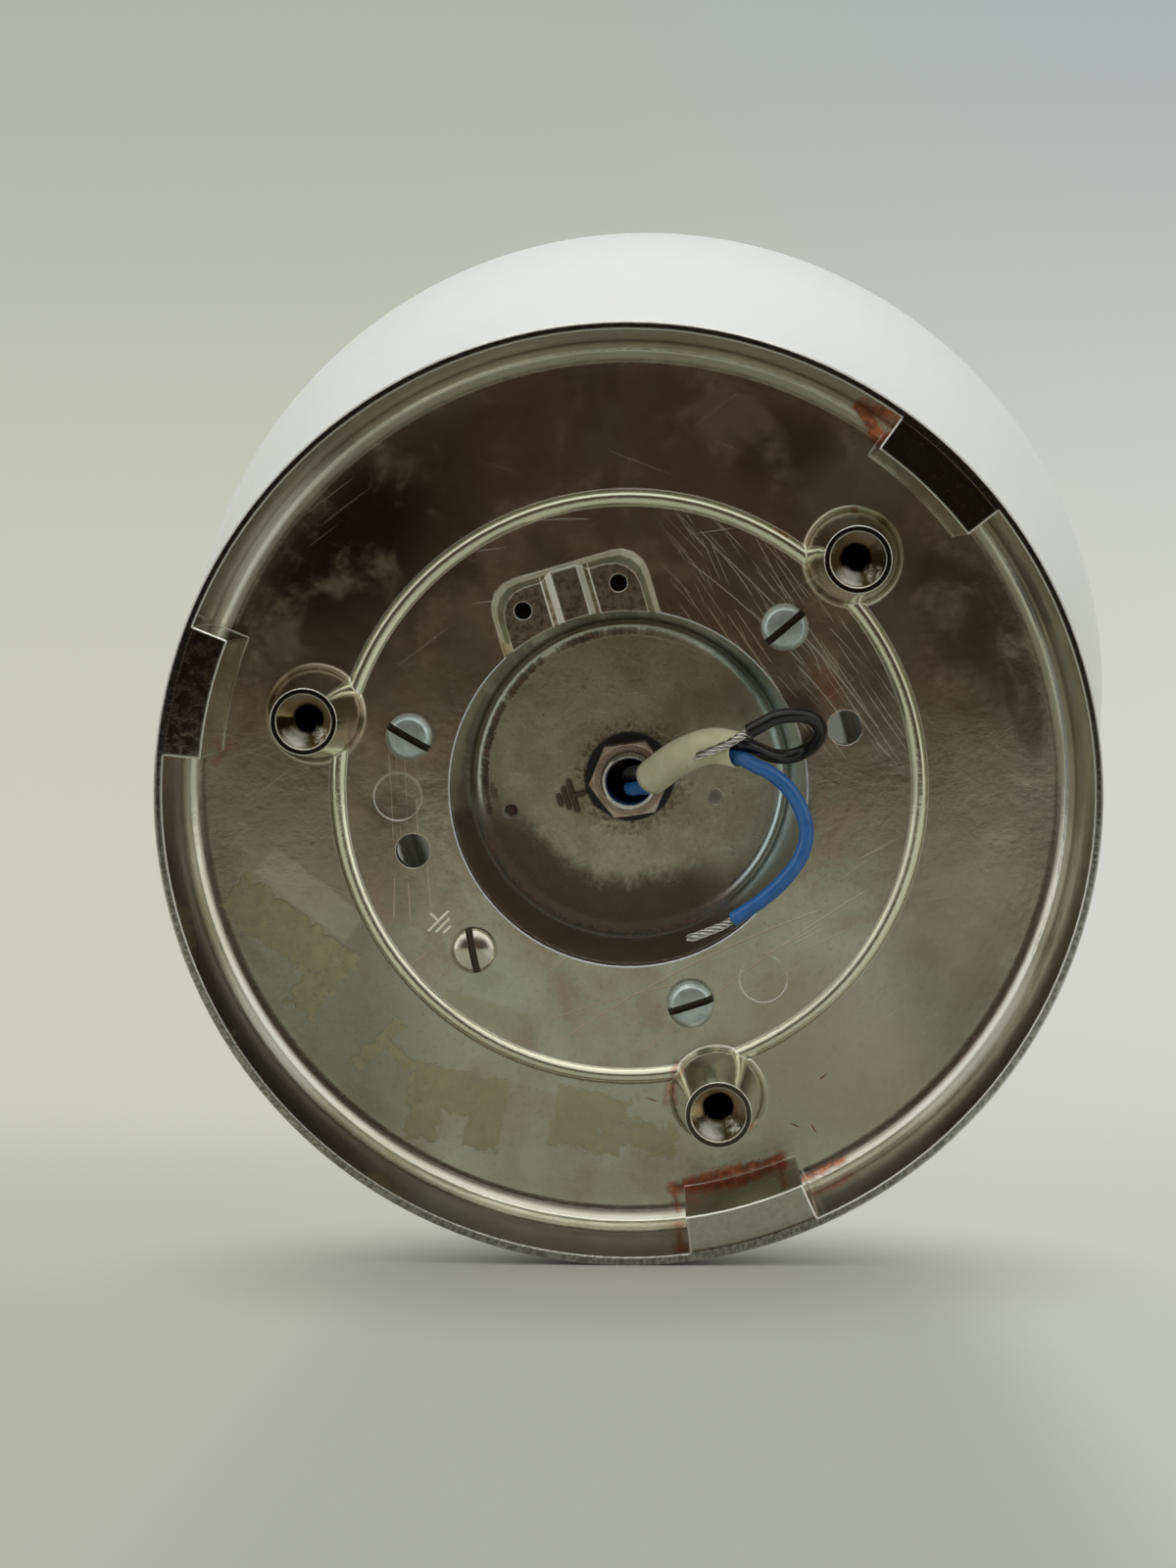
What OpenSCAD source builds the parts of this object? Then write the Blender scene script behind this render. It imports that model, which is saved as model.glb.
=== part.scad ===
// Wall or ceiling lamp: nickel-plated cast base, glass gallery with grip screws,
// E27 lampholder on a threaded tube, and a teardrop shade of opal glass.
// Each part is drawn on its own axis, z = distance from the wall, and then turned so
// that the wall is the plane y = 0, the lamp reaches out along +Y and +Z is up.

/* [Base dish] */
// Outer diameter of the base dish
base_d = 160; // [156:1:180]
// Depth from the wall plane to the back of the base plate
dish_depth = 18; // [15:0.5:22]
// Thickness of the base plate
plate_t = 3; // [2.5:0.25:4]
// Width of the flat ground rim that meets the wall
rim_w = 1.4; // [1:0.1:2.5]
// How far the dish wall leans inward between the rim and the plate
wall_draft = 1.2; // [0:0.1:2]
// Radius of the fillet between the dish wall and the plate
dish_fillet_r = 4; // [1:0.5:5]
// Radius of the shallow curve with which the plate rises towards that fillet
plate_blend_r = 60; // [40:5:90]
// Width of that shallow curve
plate_blend_w = 6.5; // [2:0.5:7]
// Radius of the rounded outer edge at the front
front_edge_r = 8; // [2:0.5:9]
// Middle radius of the raised rib ring
rib_r = 50.8; // [48:0.2:60]
// Width of the rib ring at its foot
rib_w = 2.8; // [2.4:0.1:4]
// Height of the rib ring
rib_h = 0.9; // [0.3:0.1:1.2]

/* [Bosses and lugs] */
// Angle of the first boss, clockwise from +X as seen from the wall
first_angle = 73.8; // [60:0.1:90]
// Distance of the three bosses from the lamp axis
boss_r = 56; // [54:0.5:60]
// Diameter of a boss at the wall
boss_top_d = 11.4; // [10.5:0.1:13]
// Diameter of a boss at the plate
boss_foot_d = 15.8; // [13:0.1:18]
// Radius of the fillet round the foot of a boss
boss_fillet_r = 1.4; // [0.5:0.1:2.5]
// Diameter of the pilot hole in a boss
boss_hole_d = 3.1; // [2:0.1:4]
// Depth of the pilot hole in a boss
boss_hole_depth = 14; // [8:0.5:14.5]
// Diameter of the countersink at the mouth of a boss
boss_sink_d = 9.4; // [7:0.1:10]
// Depth of the countersink
boss_sink_depth = 4.5; // [2:0.5:6]
// Angle that a rim lug spans
lug_span = 16.4; // [8:0.2:24]
// Inner radius of a rim lug at its top
lug_r = 72.3; // [70:0.1:75]
// How far the inner face of a lug slopes inward towards the plate
lug_slope = 1.1; // [0:0.1:3]
// Thickness of the dish wall outside the root of a lug
lug_root = 2; // [1:0.1:3]

/* [Holes in the plate] */
// Radius of the circle that carries the screws and the mounting holes
hole_circle_r = 39.25; // [38.5:0.05:40]
// Diameter of the two mounting holes
mount_hole_d = 6; // [4:0.1:6.5]
// Angle of the first mounting hole
mount_hole_angle = 164; // [158:0.5:170]
// Diameter of the round ejector marks
ejector_d = 8.4; // [4:0.2:10]
// Depth of the ejector marks
ejector_depth = 0.2; // [0.1:0.05:0.5]

/* [Cord clamp pad] */
// Length of the pad along the edge of the well, at its top
pad_l = 24.4; // [24:0.2:30]
// Distance of the pad's outer edge from the lamp axis
pad_reach = 38.9; // [38.5:0.2:42]
// Height of the pad above the plate
pad_h = 2.5; // [1.5:0.1:4]
// Width of the sloped edge round the pad
pad_bevel = 1.9; // [0.2:0.1:2]
// Corner radius of the pad
pad_corner_r = 5; // [2:0.5:8]
// Distance between the two clamp screw holes
pad_hole_gap = 17.2; // [15:0.2:20]
// Distance of the clamp screw holes from the lamp axis
pad_hole_reach = 35.1; // [34.5:0.1:36]
// Diameter of the clamp screw holes
pad_hole_d = 3; // [2:0.1:4]
// Width of the cord trough at its top
trough_w = 8.5; // [6:0.1:10]
// Width of the cord trough at its bottom
trough_floor_w = 4.8; // [3:0.1:6]
// Depth of the cord trough
trough_depth = 1.7; // [0.5:0.1:2.4]

/* [Gallery and cup] */
// Radius of the well where it passes the base plate
well_r = 31.2; // [29:0.1:32]
// How far the cup wall leans inward over its depth
cup_draft = 2.4; // [0:0.1:4]
// Depth of the cup, from the front of the plate to its floor
cup_depth = 20; // [16:0.5:24]
// Wall and floor thickness of the cup
cup_wall = 2.4; // [1.8:0.1:3]
// Radius of the fillet between the cup wall and its floor
cup_fillet_r = 2.4; // [1:0.1:4]
// Thickness of the gallery flange
flange_t = 3.5; // [3:0.5:5]
// Height of the gallery rim above the flange
gallery_h = 13.5; // [12:0.5:20]
// Thickness of the gallery rim
gallery_wall = 2.5; // [2:0.1:3.5]
// Diameter of the access holes in front of the mounting holes
access_hole_d = 11; // [9:0.5:11]

/* [Plate screws] */
// Head diameter of the three plate screws
plate_screw_head_d = 8.2; // [7.5:0.1:10]
// Head height of a plate screw
plate_screw_head_h = 2.9; // [2:0.1:4]
// Thread diameter of a plate screw
plate_screw_d = 4.9; // [4:0.1:5.5]
// Head diameter of the earth screw
earth_screw_head_d = 7.9; // [7:0.1:10]
// Head height of the earth screw
earth_screw_head_h = 2.6; // [2:0.1:4]
// Thread diameter of the earth screw
earth_screw_d = 3.9; // [3:0.1:5]
// Width of the screw slots
slot_w = 1.2; // [0.8:0.1:2]
// Depth of the screw slots
slot_depth = 1.3; // [0.8:0.1:1.8]

/* [Threaded tube] */
// Thread diameter of the tube
tube_d = 10; // [9:0.5:11]
// Bore of the tube
tube_bore_d = 8.1; // [7.4:0.1:8.4]
// How far the tube stands above the cup floor
tube_stand = 10; // [8:0.5:12]
// Diameter of the washer under the nut
tube_washer_d = 16; // [14.5:0.5:20]
// Thickness of the washer
tube_washer_t = 0.8; // [0.5:0.1:1.5]
// Width across the flats of the nut in the well
tube_nut_af = 13; // [12.8:0.1:14]
// Thickness of the nut in the well
tube_nut_t = 5.9; // [3:0.1:6.5]
// Thickness of the locknut behind the lampholder
locknut_t = 3; // [2:0.5:5]

/* [Lampholder] */
// Outer diameter of the lampholder
holder_d = 39; // [37.5:0.5:42]
// Wall thickness of the lampholder cap and sleeve
holder_wall = 2; // [1.8:0.1:2.4]
// Length of the lampholder cap
holder_cap_l = 24; // [22:0.5:28]
// Length of the lampholder sleeve
holder_sleeve_l = 33; // [30:0.5:36]
// Height of the neck that takes the tube thread
holder_neck_h = 5; // [3:0.5:7]
// Thickness of the porcelain disc
insert_t = 7.7; // [6:0.1:7.8]
// Height of the porcelain post in front of the disc
insert_post_h = 4.3; // [4:0.1:6]
// Height of the centre contact above the porcelain
contact_rise = 2.6; // [1.5:0.1:3]
// Thickness of the contact strips
strip_t = 0.6; // [0.4:0.1:0.8]
// Thickness of the brass screw shell
shell_t = 0.8; // [0.5:0.1:1]

/* [Bulb] */
// Diameter of the bulb's screw cap
bulb_cap_d = 26.2; // [25.8:0.1:26.4]
// Length of the bulb's screw cap
bulb_cap_l = 21; // [19:0.5:24]
// Diameter of the bulb
bulb_d = 60; // [50:1:64]
// Length of the bulb
bulb_l = 104; // [98:1:120]
// Diameter of the bulb's neck
bulb_neck_d = 26; // [24.6:0.1:28]
// Thickness of the bulb's glass
bulb_wall = 0.8; // [0.6:0.1:1.2]

/* [Glass shade] */
// Largest diameter of the glass shade
shade_d = 230; // [200:1:260]
// Distance of the shade's widest ring from the wall
shade_reach = 257; // [240:1:300]
// Outer diameter of the shade's neck
neck_d = 85; // [84:0.5:88]
// Thickness of the glass
glass_t = 3; // [2.5:0.1:3.8]
// Length of the straight neck
neck_l = 17.5; // [15:0.5:25]
// Thickness of the sealing ring under the neck
gasket_t = 2; // [1:0.1:3]

/* [Grip screws] */
// Thread diameter of a grip screw
grip_d = 4; // [3:0.1:5]
// Diameter of the knurled knob
grip_knob_d = 12; // [9:0.5:14]
// Length of the knurled knob
grip_knob_l = 7; // [4:0.5:10]
// Distance from the flange to the middle of the grip screws
grip_height = 8.5; // [7.5:0.1:9.5]
// Length of the soft tip of a grip screw
grip_tip_l = 2; // [1.5:0.1:2.2]

/* [Leads] */
// Outer diameter of the insulation of a lead
lead_d = 2.6; // [2:0.1:2.7]
// Diameter of the bare strands
strand_d = 1.5; // [1:0.1:1.8]
// Outer diameter of the sleeve round both leads
sleeve_d = 6.3; // [6.1:0.1:6.5]
// Wall thickness of the sleeve
sleeve_wall = 0.25; // [0.15:0.05:0.3]

/* [Hidden] */

// Number of faces of round shapes, large and small
fine = 144;
small = 48;
// Steps in each quarter of a rounded edge
arc_steps = 8;
// Overlap that makes cuts and joined shapes pass cleanly
eps = 0.5;
// How far the foot of a boss and of the pad runs into the plate
foot_sink = 0.07;
// Clearance of a thread in its hole, of a seated piece, and between curved faces
thread_gap = 0.05;
seat_gap = 0.3;

// Places along the lamp axis
base_r = base_d / 2;
plate_back = dish_depth;
plate_front = plate_back + plate_t;
flange_front = plate_front + flange_t;
floor_back = plate_front + cup_depth;
floor_front = floor_back + cup_wall;
nut_back = floor_back - tube_washer_t - tube_nut_t;
tube_back = floor_back - tube_stand;
holder_back = floor_front + locknut_t;
tube_end = holder_back + holder_neck_h + 3;
holder_ledge = holder_back + holder_cap_l - insert_t - seat_gap;
holder_joint = holder_back + holder_cap_l;
post_top = holder_ledge + insert_t + insert_post_h;
holder_mouth = holder_joint + holder_sleeve_l;
bulb_tip = post_top + contact_rise + seat_gap;
bulb_centre = bulb_tip + bulb_l - bulb_d / 2;
neck_back = flange_front + gasket_t;
grip_level = flange_front + grip_height;

// Radii that fit each other
gasket_in_r = (neck_d - glass_t) / 2;
gasket_out_r = neck_d / 2 + 1.5;
gallery_in_r = gasket_out_r + 1.5;
gallery_out_r = gallery_in_r + gallery_wall;
tube_hole_r = tube_d / 2 + 0.1;
shell_in_r = bulb_cap_d / 2 + seat_gap + 0.1;
shell_out_r = shell_in_r + shell_t;
sleeve_bore_r = shell_out_r + seat_gap;
holder_in_r = holder_d / 2 - holder_wall;
screw_hole_r = plate_screw_d / 2 + 0.3;

// Angles, each a third of a turn from the next
third = 120;
between = 60;
clamp_angle = first_angle + third + between;
earth_angle = first_angle + between;
ejector_places = [[40.9, 54.6], [40.3, 178.2]];
screw_slot_angles = [-18, 30, -40];
earth_slot_angle = 79;
grip_angles = [for (i = [0:2]) first_angle - between + i * third];

// Earth signs, cast as thin raised bars: place, direction and size
earth_mark_high = 0.3;
earth_mark_line = 0.45;
plate_mark = [-33.5, 23, 45, 5.1];
cup_mark = [-10.2, 3.5, 163, 6];

// Route of the leads, in the frame of the finished lamp, out of the tube and through the sleeve
sleeve_route = [[4, 28.5, 1], [7.5, 23.5, 4.2], [11, 18.5, 6.6], [15, 14.5, 8], [19.4, 10.5, 7.6]];
blue_route = [[0.3, 36, -1.4], [0.3, 33, -1.4], [1.8, 30.6, -1], [4.2, 28.2, -0.3], [7.7, 23.2, 2.9],
    [11.2, 18.2, 5.3], [15.2, 14.2, 6.7], [19.5, 10.2, 6.2], [21.9, 8.9, 5.1], [24.5, 8.2, 3.9],
    [27.6, 8, 1.2], [29.8, 8, -2.5], [30.7, 8, -6.7], [29.5, 8, -10.9], [26.6, 8.5, -14.9],
    [23.3, 9, -18], [20.3, 9.5, -20.2], [18.2, 10, -21.6]];
black_route = [[-0.3, 36, 1.4], [-0.3, 33, 1.4], [0.9, 31, 1.8], [3.8, 28.8, 2.3], [7.3, 23.8, 5.5],
    [10.8, 18.8, 7.9], [14.8, 14.8, 9.3], [19.2, 10.9, 8.95], [21.9, 11.4, 7.9], [24.9, 12.8, 6.5],
    [27.9, 13.8, 6.2], [30.6, 13.4, 7.2], [32.6, 11.5, 9.2], [33, 9.5, 11.5], [31.5, 8, 13.3],
    [28.8, 7, 13.9], [25.5, 6.3, 13.6], [22.6, 6, 12.2], [20.6, 6, 11.1]];
blue_strand_route = [[18.08, 10.03, -21.68], [16.2, 10.45, -22.9], [13.4, 10.7, -24.1], [10.2, 11, -25.3]];
black_strand_route = [[20.47, 6, 11.03], [19.2, 6.1, 10.3], [17.4, 7, 9.1], [14.6, 9, 7.7], [11.8, 11.2, 6.3]];
blue_inner_route = [[0.3, 36, -1.4], [0.3, 45, -1.4], [0.3, 54, -1.4], [-0.5, 58, -2], [-3.5, 60, -2.2], [-6.4, 60.6, -1]];
black_inner_route = [[-0.3, 36, 1.4], [-0.3, 45, 1.4], [-0.3, 54, 1.4], [0.5, 58, 2], [3.5, 60, 2.2], [6.4, 60.6, 1]];
lead_sides = 8;
sleeve_sides = 12;

// Points along an arc round a centre, from one angle to another
function arc(x, y, r, from, to, n = arc_steps) =
    [for (i = [0:n]) let (a = from + (to - from) * i / n) [x + r * cos(a), y + r * sin(a)]];

// The same list, last point first
function backwards(p) = [for (i = [len(p) - 1:-1:0]) p[i]];

// Half outline of a teardrop: a neck of radius nr up to z = n_end, a hollow flare and a ball
function flare_r(nr, n_end, br, centre) =
    (pow(centre - n_end, 2) + nr * nr - br * br) / (2 * (br - nr));
function teardrop(nr, n_start, n_end, br, centre, t = 0, n = 24) =
    let (fr = flare_r(nr, n_end, br, centre),
         lean = atan2(centre - n_end, nr + fr))
    concat([[nr - t, n_start]],
        arc(nr + fr, n_end, fr + t, 180, 180 - lean, n),
        [for (i = [1:2 * n]) let (a = -lean + (90 + lean) * i / (2 * n))
            [i == 2 * n ? 0 : (br - t) * cos(a), centre + (br - t) * sin(a)]]);

// Directions along a route, and a normal that is carried along it without twisting
function unit(v) = v / norm(v);
function along(p, i) = unit(p[min(i + 1, len(p) - 1)] - p[max(i - 1, 0)]);
function square_to(u, t) = unit(u - (u * t) * t);
function carried(p, i) =
    i == 0 ? square_to([1, 0, 0.2], along(p, 0)) : square_to(carried(p, i - 1), along(p, i));
function ring_points(p, r, sides) =
    [for (i = [0:len(p) - 1]) let (t = along(p, i), u = carried(p, i), v = cross(t, u))
        for (k = [0:sides - 1]) p[i] + r * (cos(360 * k / sides) * u + sin(360 * k / sides) * v)];

// Turns the lamp axis from +z to +Y, with the angles clockwise as seen from the wall
module lamp_frame() rotate([-90, 0, 0]) children();

// Places its children at a radius and an angle round the lamp axis
module around(r, angle) rotate([0, 0, angle]) translate([r, 0, 0]) children();

// A solid round cord along a route
module swept_cord(route, d, sides = lead_sides) {
    n = len(route);
    polyhedron(ring_points(route, d / 2, sides),
        concat([[for (k = [0:sides - 1]) k]], [[for (k = [sides - 1:-1:0]) (n - 1) * sides + k]],
            [for (i = [0:n - 2], k = [0:sides - 1], h = [0, 1])
                let (a = i * sides + k, b = i * sides + (k + 1) % sides)
                h == 0 ? [a, a + sides, b + sides] : [a, b + sides, b]]));
}

// A thin tube along a route
module swept_sleeve(route, d, wall, sides = sleeve_sides) {
    n = len(route);
    m = n * sides;
    polyhedron(concat(ring_points(route, d / 2, sides), ring_points(route, d / 2 - wall, sides)),
        concat(
            [for (i = [0:n - 2], k = [0:sides - 1], h = [0:3])
                let (a = i * sides + k, b = i * sides + (k + 1) % sides)
                h == 0 ? [a, a + sides, b + sides] : h == 1 ? [a, b + sides, b]
                : h == 2 ? [m + a, m + b + sides, m + a + sides] : [m + a, m + b, m + b + sides]],
            [for (k = [0:sides - 1], h = [0:3])
                let (l = (k + 1) % sides, e = (n - 1) * sides)
                h == 0 ? [k, l, m + l] : h == 1 ? [k, m + l, m + k]
                : h == 2 ? [e + l, e + k, m + e + k] : [e + l, m + e + k, m + e + l]]));
}

// Three bars and a stem, the general sign for an earth terminal, raised on a plate at z = 0
module earth_mark(size) {
    translate([0, 0, -earth_mark_high]) {
        for (i = [0:2])
            translate([i * size * 0.21, -size * (0.5 - 0.16 * i), 0])
                cube([earth_mark_line, size * (1 - 0.32 * i), 2 * earth_mark_high]);
        translate([-size * 0.36, -earth_mark_line / 2, 0])
            cube([size * 0.36 + eps / 2, earth_mark_line, 2 * earth_mark_high]);
    }
}

// A slotted screw with its head against z = 0 and its thread along +z
module slotted_screw(head_d, head_h, d, l, slot_angle, dome) {
    edge = dome ? head_h * 0.62 : 0.35;
    difference() {
        union() {
            rotate_extrude($fn = small)
                polygon(concat([[0, 0], [head_d / 2, 0], [head_d / 2, edge - head_h]],
                    dome ? [for (i = [1:6]) [head_d / 2 * cos(15 * i), (edge - head_h) - edge * sin(15 * i)]]
                         : [[head_d / 2 - edge, -head_h], [0, -head_h]]));
            cylinder(h = l, d = d, $fn = small);
        }
        rotate([0, 0, slot_angle])
            translate([-head_d, -slot_w / 2, -head_h - eps]) cube([2 * head_d, slot_w, slot_depth + eps]);
    }
}

// Six-sided nut between two heights, with the corners of its back face turned off
module hex_nut(af, t, bore_r) {
    difference() {
        intersection() {
            cylinder(h = t, d = af / cos(30), $fn = 6);
            union() {
                cylinder(h = 0.8, r1 = af / 2 - 0.1, r2 = af / 2 + 1, $fn = small);
                translate([0, 0, 0.8]) cylinder(h = t, r = af / 2 + 1, $fn = small);
            }
        }
        translate([0, 0, -eps]) cylinder(h = t + 2 * eps, r = bore_r, $fn = small);
    }
}

// Base plate and dish wall in one turned outline, from the rim to the plate and round the front
module dish_shell() {
    wall_r = base_r - rim_w - wall_draft;
    rib_arc_r = (rib_w * rib_w / 4 + rib_h * rib_h) / (2 * rib_h);
    rib_lean = asin(rib_w / 2 / rib_arc_r);
    blend_lean = asin(plate_blend_w / plate_blend_r);
    blend_start = wall_r - dish_fillet_r - (plate_blend_r - dish_fillet_r) * sin(blend_lean);
    fillet_z = plate_back - plate_blend_r + (plate_blend_r - dish_fillet_r) * cos(blend_lean);
    rotate_extrude($fn = fine) polygon(concat(
        [[base_r - rim_w, 0], [base_r, 0]],
        arc(base_r - front_edge_r, plate_front - front_edge_r, front_edge_r, 0, 90),
        [[well_r - 4, plate_front], [well_r - 4, plate_back]],
        arc(rib_r, plate_back - rib_h + rib_arc_r, rib_arc_r, -90 - rib_lean, rib_lean - 90),
        arc(blend_start, plate_back - plate_blend_r, plate_blend_r, 90, 90 - blend_lean * 3 / 4, 3),
        arc(wall_r - dish_fillet_r, fillet_z, dish_fillet_r, 90 - blend_lean, 0)));
}

// Tapered boss, flush with the wall plane, whose filleted foot runs into the plate
module boss() {
    foot = plate_back + foot_sink;
    rotate_extrude($fn = small) polygon(concat(
        [[0, 0], [boss_top_d / 2, 0]],
        backwards(arc(boss_foot_d / 2 + boss_fillet_r, foot - boss_fillet_r, boss_fillet_r, 90, 180)),
        [[boss_foot_d / 2 + boss_fillet_r, plate_back + eps], [0, plate_back + eps]]));
}

module boss_bore() {
    flare = (boss_sink_d - boss_hole_d) / boss_sink_depth;
    translate([0, 0, -eps]) {
        cylinder(h = boss_hole_depth + eps, d = boss_hole_d, $fn = small);
        cylinder(h = boss_sink_depth + eps, d1 = boss_sink_d + eps * flare, d2 = boss_hole_d, $fn = small);
    }
}

// Block inside the rim that rests against the wall
module lug() {
    root = base_r - lug_root;
    rotate([0, 0, -lug_span / 2]) rotate_extrude(angle = lug_span, $fn = fine)
        polygon([[lug_r, 0], [base_r - rim_w / 2, 0], [root, plate_back - dish_fillet_r],
            [root - 1, plate_back + eps], [lug_r - lug_slope, plate_back + eps]]);
}

// Outline of the clamp pad, grown by a margin, from the well out to its rounded corners
module pad_outline(margin) {
    x = pad_reach + margin - pad_corner_r;
    y = pad_l / 2 + margin - pad_corner_r;
    polygon(concat([[well_r - 4, -pad_l / 2 - margin]],
        arc(x, -y, pad_corner_r, -90, 0, 4), arc(x, y, pad_corner_r, 0, 90, 4),
        [[well_r - 4, pad_l / 2 + margin]]));
}

// Raised pad for a cord clamp, with sloped edges and a trough for the cord
module clamp_pad() {
    difference() {
        hull() {
            translate([0, 0, plate_back - pad_h]) linear_extrude(0.2) pad_outline(0);
            translate([0, 0, plate_back + foot_sink]) linear_extrude(eps) pad_outline(pad_bevel);
        }
        translate([well_r - 4, 0, plate_back - pad_h]) rotate([90, 0, 90])
            linear_extrude(pad_reach) polygon([[-trough_w / 2, -eps], [trough_w / 2, -eps],
                [trough_w / 2, 0], [trough_floor_w / 2, trough_depth],
                [-trough_floor_w / 2, trough_depth], [-trough_w / 2, 0]]);
    }
}

module base_dish() {
    color("darkkhaki") lamp_frame() difference() {
        union() {
            dish_shell();
            for (i = [0:2]) around(boss_r, first_angle + i * third) boss();
            for (i = [0:2]) rotate([0, 0, first_angle + i * third]) lug();
            rotate([0, 0, clamp_angle]) clamp_pad();
            translate([plate_mark[0], plate_mark[1], plate_back])
                rotate([0, 0, plate_mark[2]]) earth_mark(plate_mark[3]);
        }
        translate([0, 0, -eps]) cylinder(h = plate_front + 2 * eps, r = well_r, $fn = fine);
        for (i = [0:2]) around(boss_r, first_angle + i * third) boss_bore();
        for (i = [0:2]) around(hole_circle_r, first_angle + i * third)
            translate([0, 0, plate_back - eps]) cylinder(h = plate_t + 2 * eps, r = screw_hole_r, $fn = small);
        for (a = [0, 180]) around(hole_circle_r, mount_hole_angle + a)
            translate([0, 0, plate_back - eps]) cylinder(h = plate_t + 2 * eps, d = mount_hole_d, $fn = small);
        around(hole_circle_r, earth_angle) translate([0, 0, plate_back - eps])
            cylinder(h = plate_t + 2 * eps, r = earth_screw_d / 2 + thread_gap, $fn = small);
        for (s = [-1, 1]) rotate([0, 0, clamp_angle]) translate([pad_hole_reach, s * pad_hole_gap / 2, 0])
            translate([0, 0, plate_back - pad_h - eps])
                cylinder(h = pad_h + plate_t + 2 * eps, d = pad_hole_d, $fn = small);
        for (p = ejector_places) around(p[0], p[1])
            translate([0, 0, plate_back - eps]) cylinder(h = ejector_depth + eps, d = ejector_d, $fn = small);
    }
}

// Cup, flange and gallery rim as one turned outline
module gallery_shell() {
    foot_r = well_r - cup_draft;
    rotate_extrude($fn = fine) polygon(concat(
        [[well_r, plate_front]],
        arc(foot_r - cup_fillet_r, floor_back - cup_fillet_r, cup_fillet_r, 0, 90),
        [[tube_hole_r, floor_back], [tube_hole_r, floor_front]],
        arc(foot_r - cup_fillet_r, floor_back - cup_fillet_r, cup_fillet_r + cup_wall, 90, 0),
        [[well_r + cup_wall, flange_front], [gallery_in_r, flange_front]],
        [[gallery_in_r, flange_front + gallery_h], [gallery_out_r, flange_front + gallery_h]],
        [[gallery_out_r, plate_front]]));
}

module gallery_cup() {
    color("darkkhaki") lamp_frame() difference() {
        union() {
            gallery_shell();
            for (a = grip_angles) rotate([0, 0, a]) translate([gallery_in_r + 1, 0, grip_level])
                rotate([0, 90, 0]) cylinder(h = gallery_wall + 2, d = grip_d + 4, $fn = small);
            translate([cup_mark[0], cup_mark[1], floor_back])
                rotate([0, 0, cup_mark[2]]) earth_mark(cup_mark[3]);
        }
        for (a = grip_angles) rotate([0, 0, a]) translate([gallery_in_r - 1, 0, grip_level])
            rotate([0, 90, 0]) cylinder(h = gallery_wall + 6, r = grip_d / 2 + thread_gap, $fn = small);
        for (i = [0:2]) around(hole_circle_r, first_angle + i * third) translate([0, 0, plate_front - eps])
            cylinder(h = flange_t + 2 * eps, r = plate_screw_d / 2 + thread_gap, $fn = small);
        for (a = [0, 180]) around(hole_circle_r, mount_hole_angle + a) translate([0, 0, plate_front - eps])
            cylinder(h = flange_t + 2 * eps, d = access_hole_d, $fn = small);
        around(hole_circle_r, earth_angle) translate([0, 0, plate_front - eps])
            cylinder(h = flange_t + 2 * eps, r = earth_screw_d / 2 + seat_gap, $fn = small);
        around(22.8, 163.6) translate([0, 0, floor_back - eps]) cylinder(h = eps + 1.5, d = 2.7, $fn = small);
        around(16, 13.5) translate([0, 0, floor_back - eps]) cylinder(h = eps + 0.6, d = 2.9, $fn = small);
    }
}

module plate_screws() {
    color("silver") lamp_frame() for (i = [0:2])
        around(hole_circle_r, first_angle + i * third) translate([0, 0, plate_back])
            slotted_screw(plate_screw_head_d, plate_screw_head_h, plate_screw_d,
                plate_t + flange_t - seat_gap, screw_slot_angles[i] - first_angle - i * third, false);
}

module earth_screw() {
    color("gainsboro") lamp_frame() around(hole_circle_r, earth_angle) translate([0, 0, plate_back])
        slotted_screw(earth_screw_head_d, earth_screw_head_h, earth_screw_d, plate_t + 1,
            earth_slot_angle - earth_angle, true);
}

module tube() {
    color("silver") lamp_frame() difference() {
        translate([0, 0, tube_back]) cylinder(h = tube_end - tube_back, d = tube_d, $fn = small);
        translate([0, 0, tube_back - eps])
            cylinder(h = tube_end - tube_back + 2 * eps, d = tube_bore_d, $fn = small);
    }
}

module tube_washer() {
    color("dimgray") lamp_frame() translate([0, 0, floor_back - tube_washer_t]) difference() {
        cylinder(h = tube_washer_t, d = tube_washer_d, $fn = small);
        translate([0, 0, -eps]) cylinder(h = tube_washer_t + 2 * eps, r = tube_hole_r, $fn = small);
    }
}

module tube_nut() {
    color("silver") lamp_frame() translate([0, 0, nut_back]) rotate([0, 0, 52])
        hex_nut(tube_nut_af, tube_nut_t, tube_d / 2 + thread_gap);
}

module tube_locknut() {
    color("silver") lamp_frame() translate([0, 0, floor_front])
        hex_nut(tube_nut_af + 1, locknut_t, tube_d / 2 + thread_gap);
}

// Domed cap that screws onto the tube, with a ledge inside for the porcelain
module lampholder_cap() {
    r = holder_d / 2;
    neck_r = tube_d / 2 + 3.5;
    inner_neck = holder_back + holder_neck_h + 3;
    shoulder = holder_ledge - 1;
    color("dimgray") lamp_frame() rotate_extrude($fn = fine) polygon([
        [tube_d / 2 + thread_gap, holder_back], [neck_r, holder_back], [neck_r, holder_back + holder_neck_h],
        [(neck_r + r) / 2, holder_back + holder_neck_h + 3], [r - 1.5, shoulder - 4], [r, shoulder],
        [r, holder_joint], [holder_in_r, holder_joint], [holder_in_r, holder_ledge],
        [holder_in_r - 2, holder_ledge], [holder_in_r - 2, shoulder - 1],
        [(neck_r + r) / 2 - 1, inner_neck + 2], [neck_r - 1, inner_neck],
        [tube_d / 2 + thread_gap, inner_neck]]);
}

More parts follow.
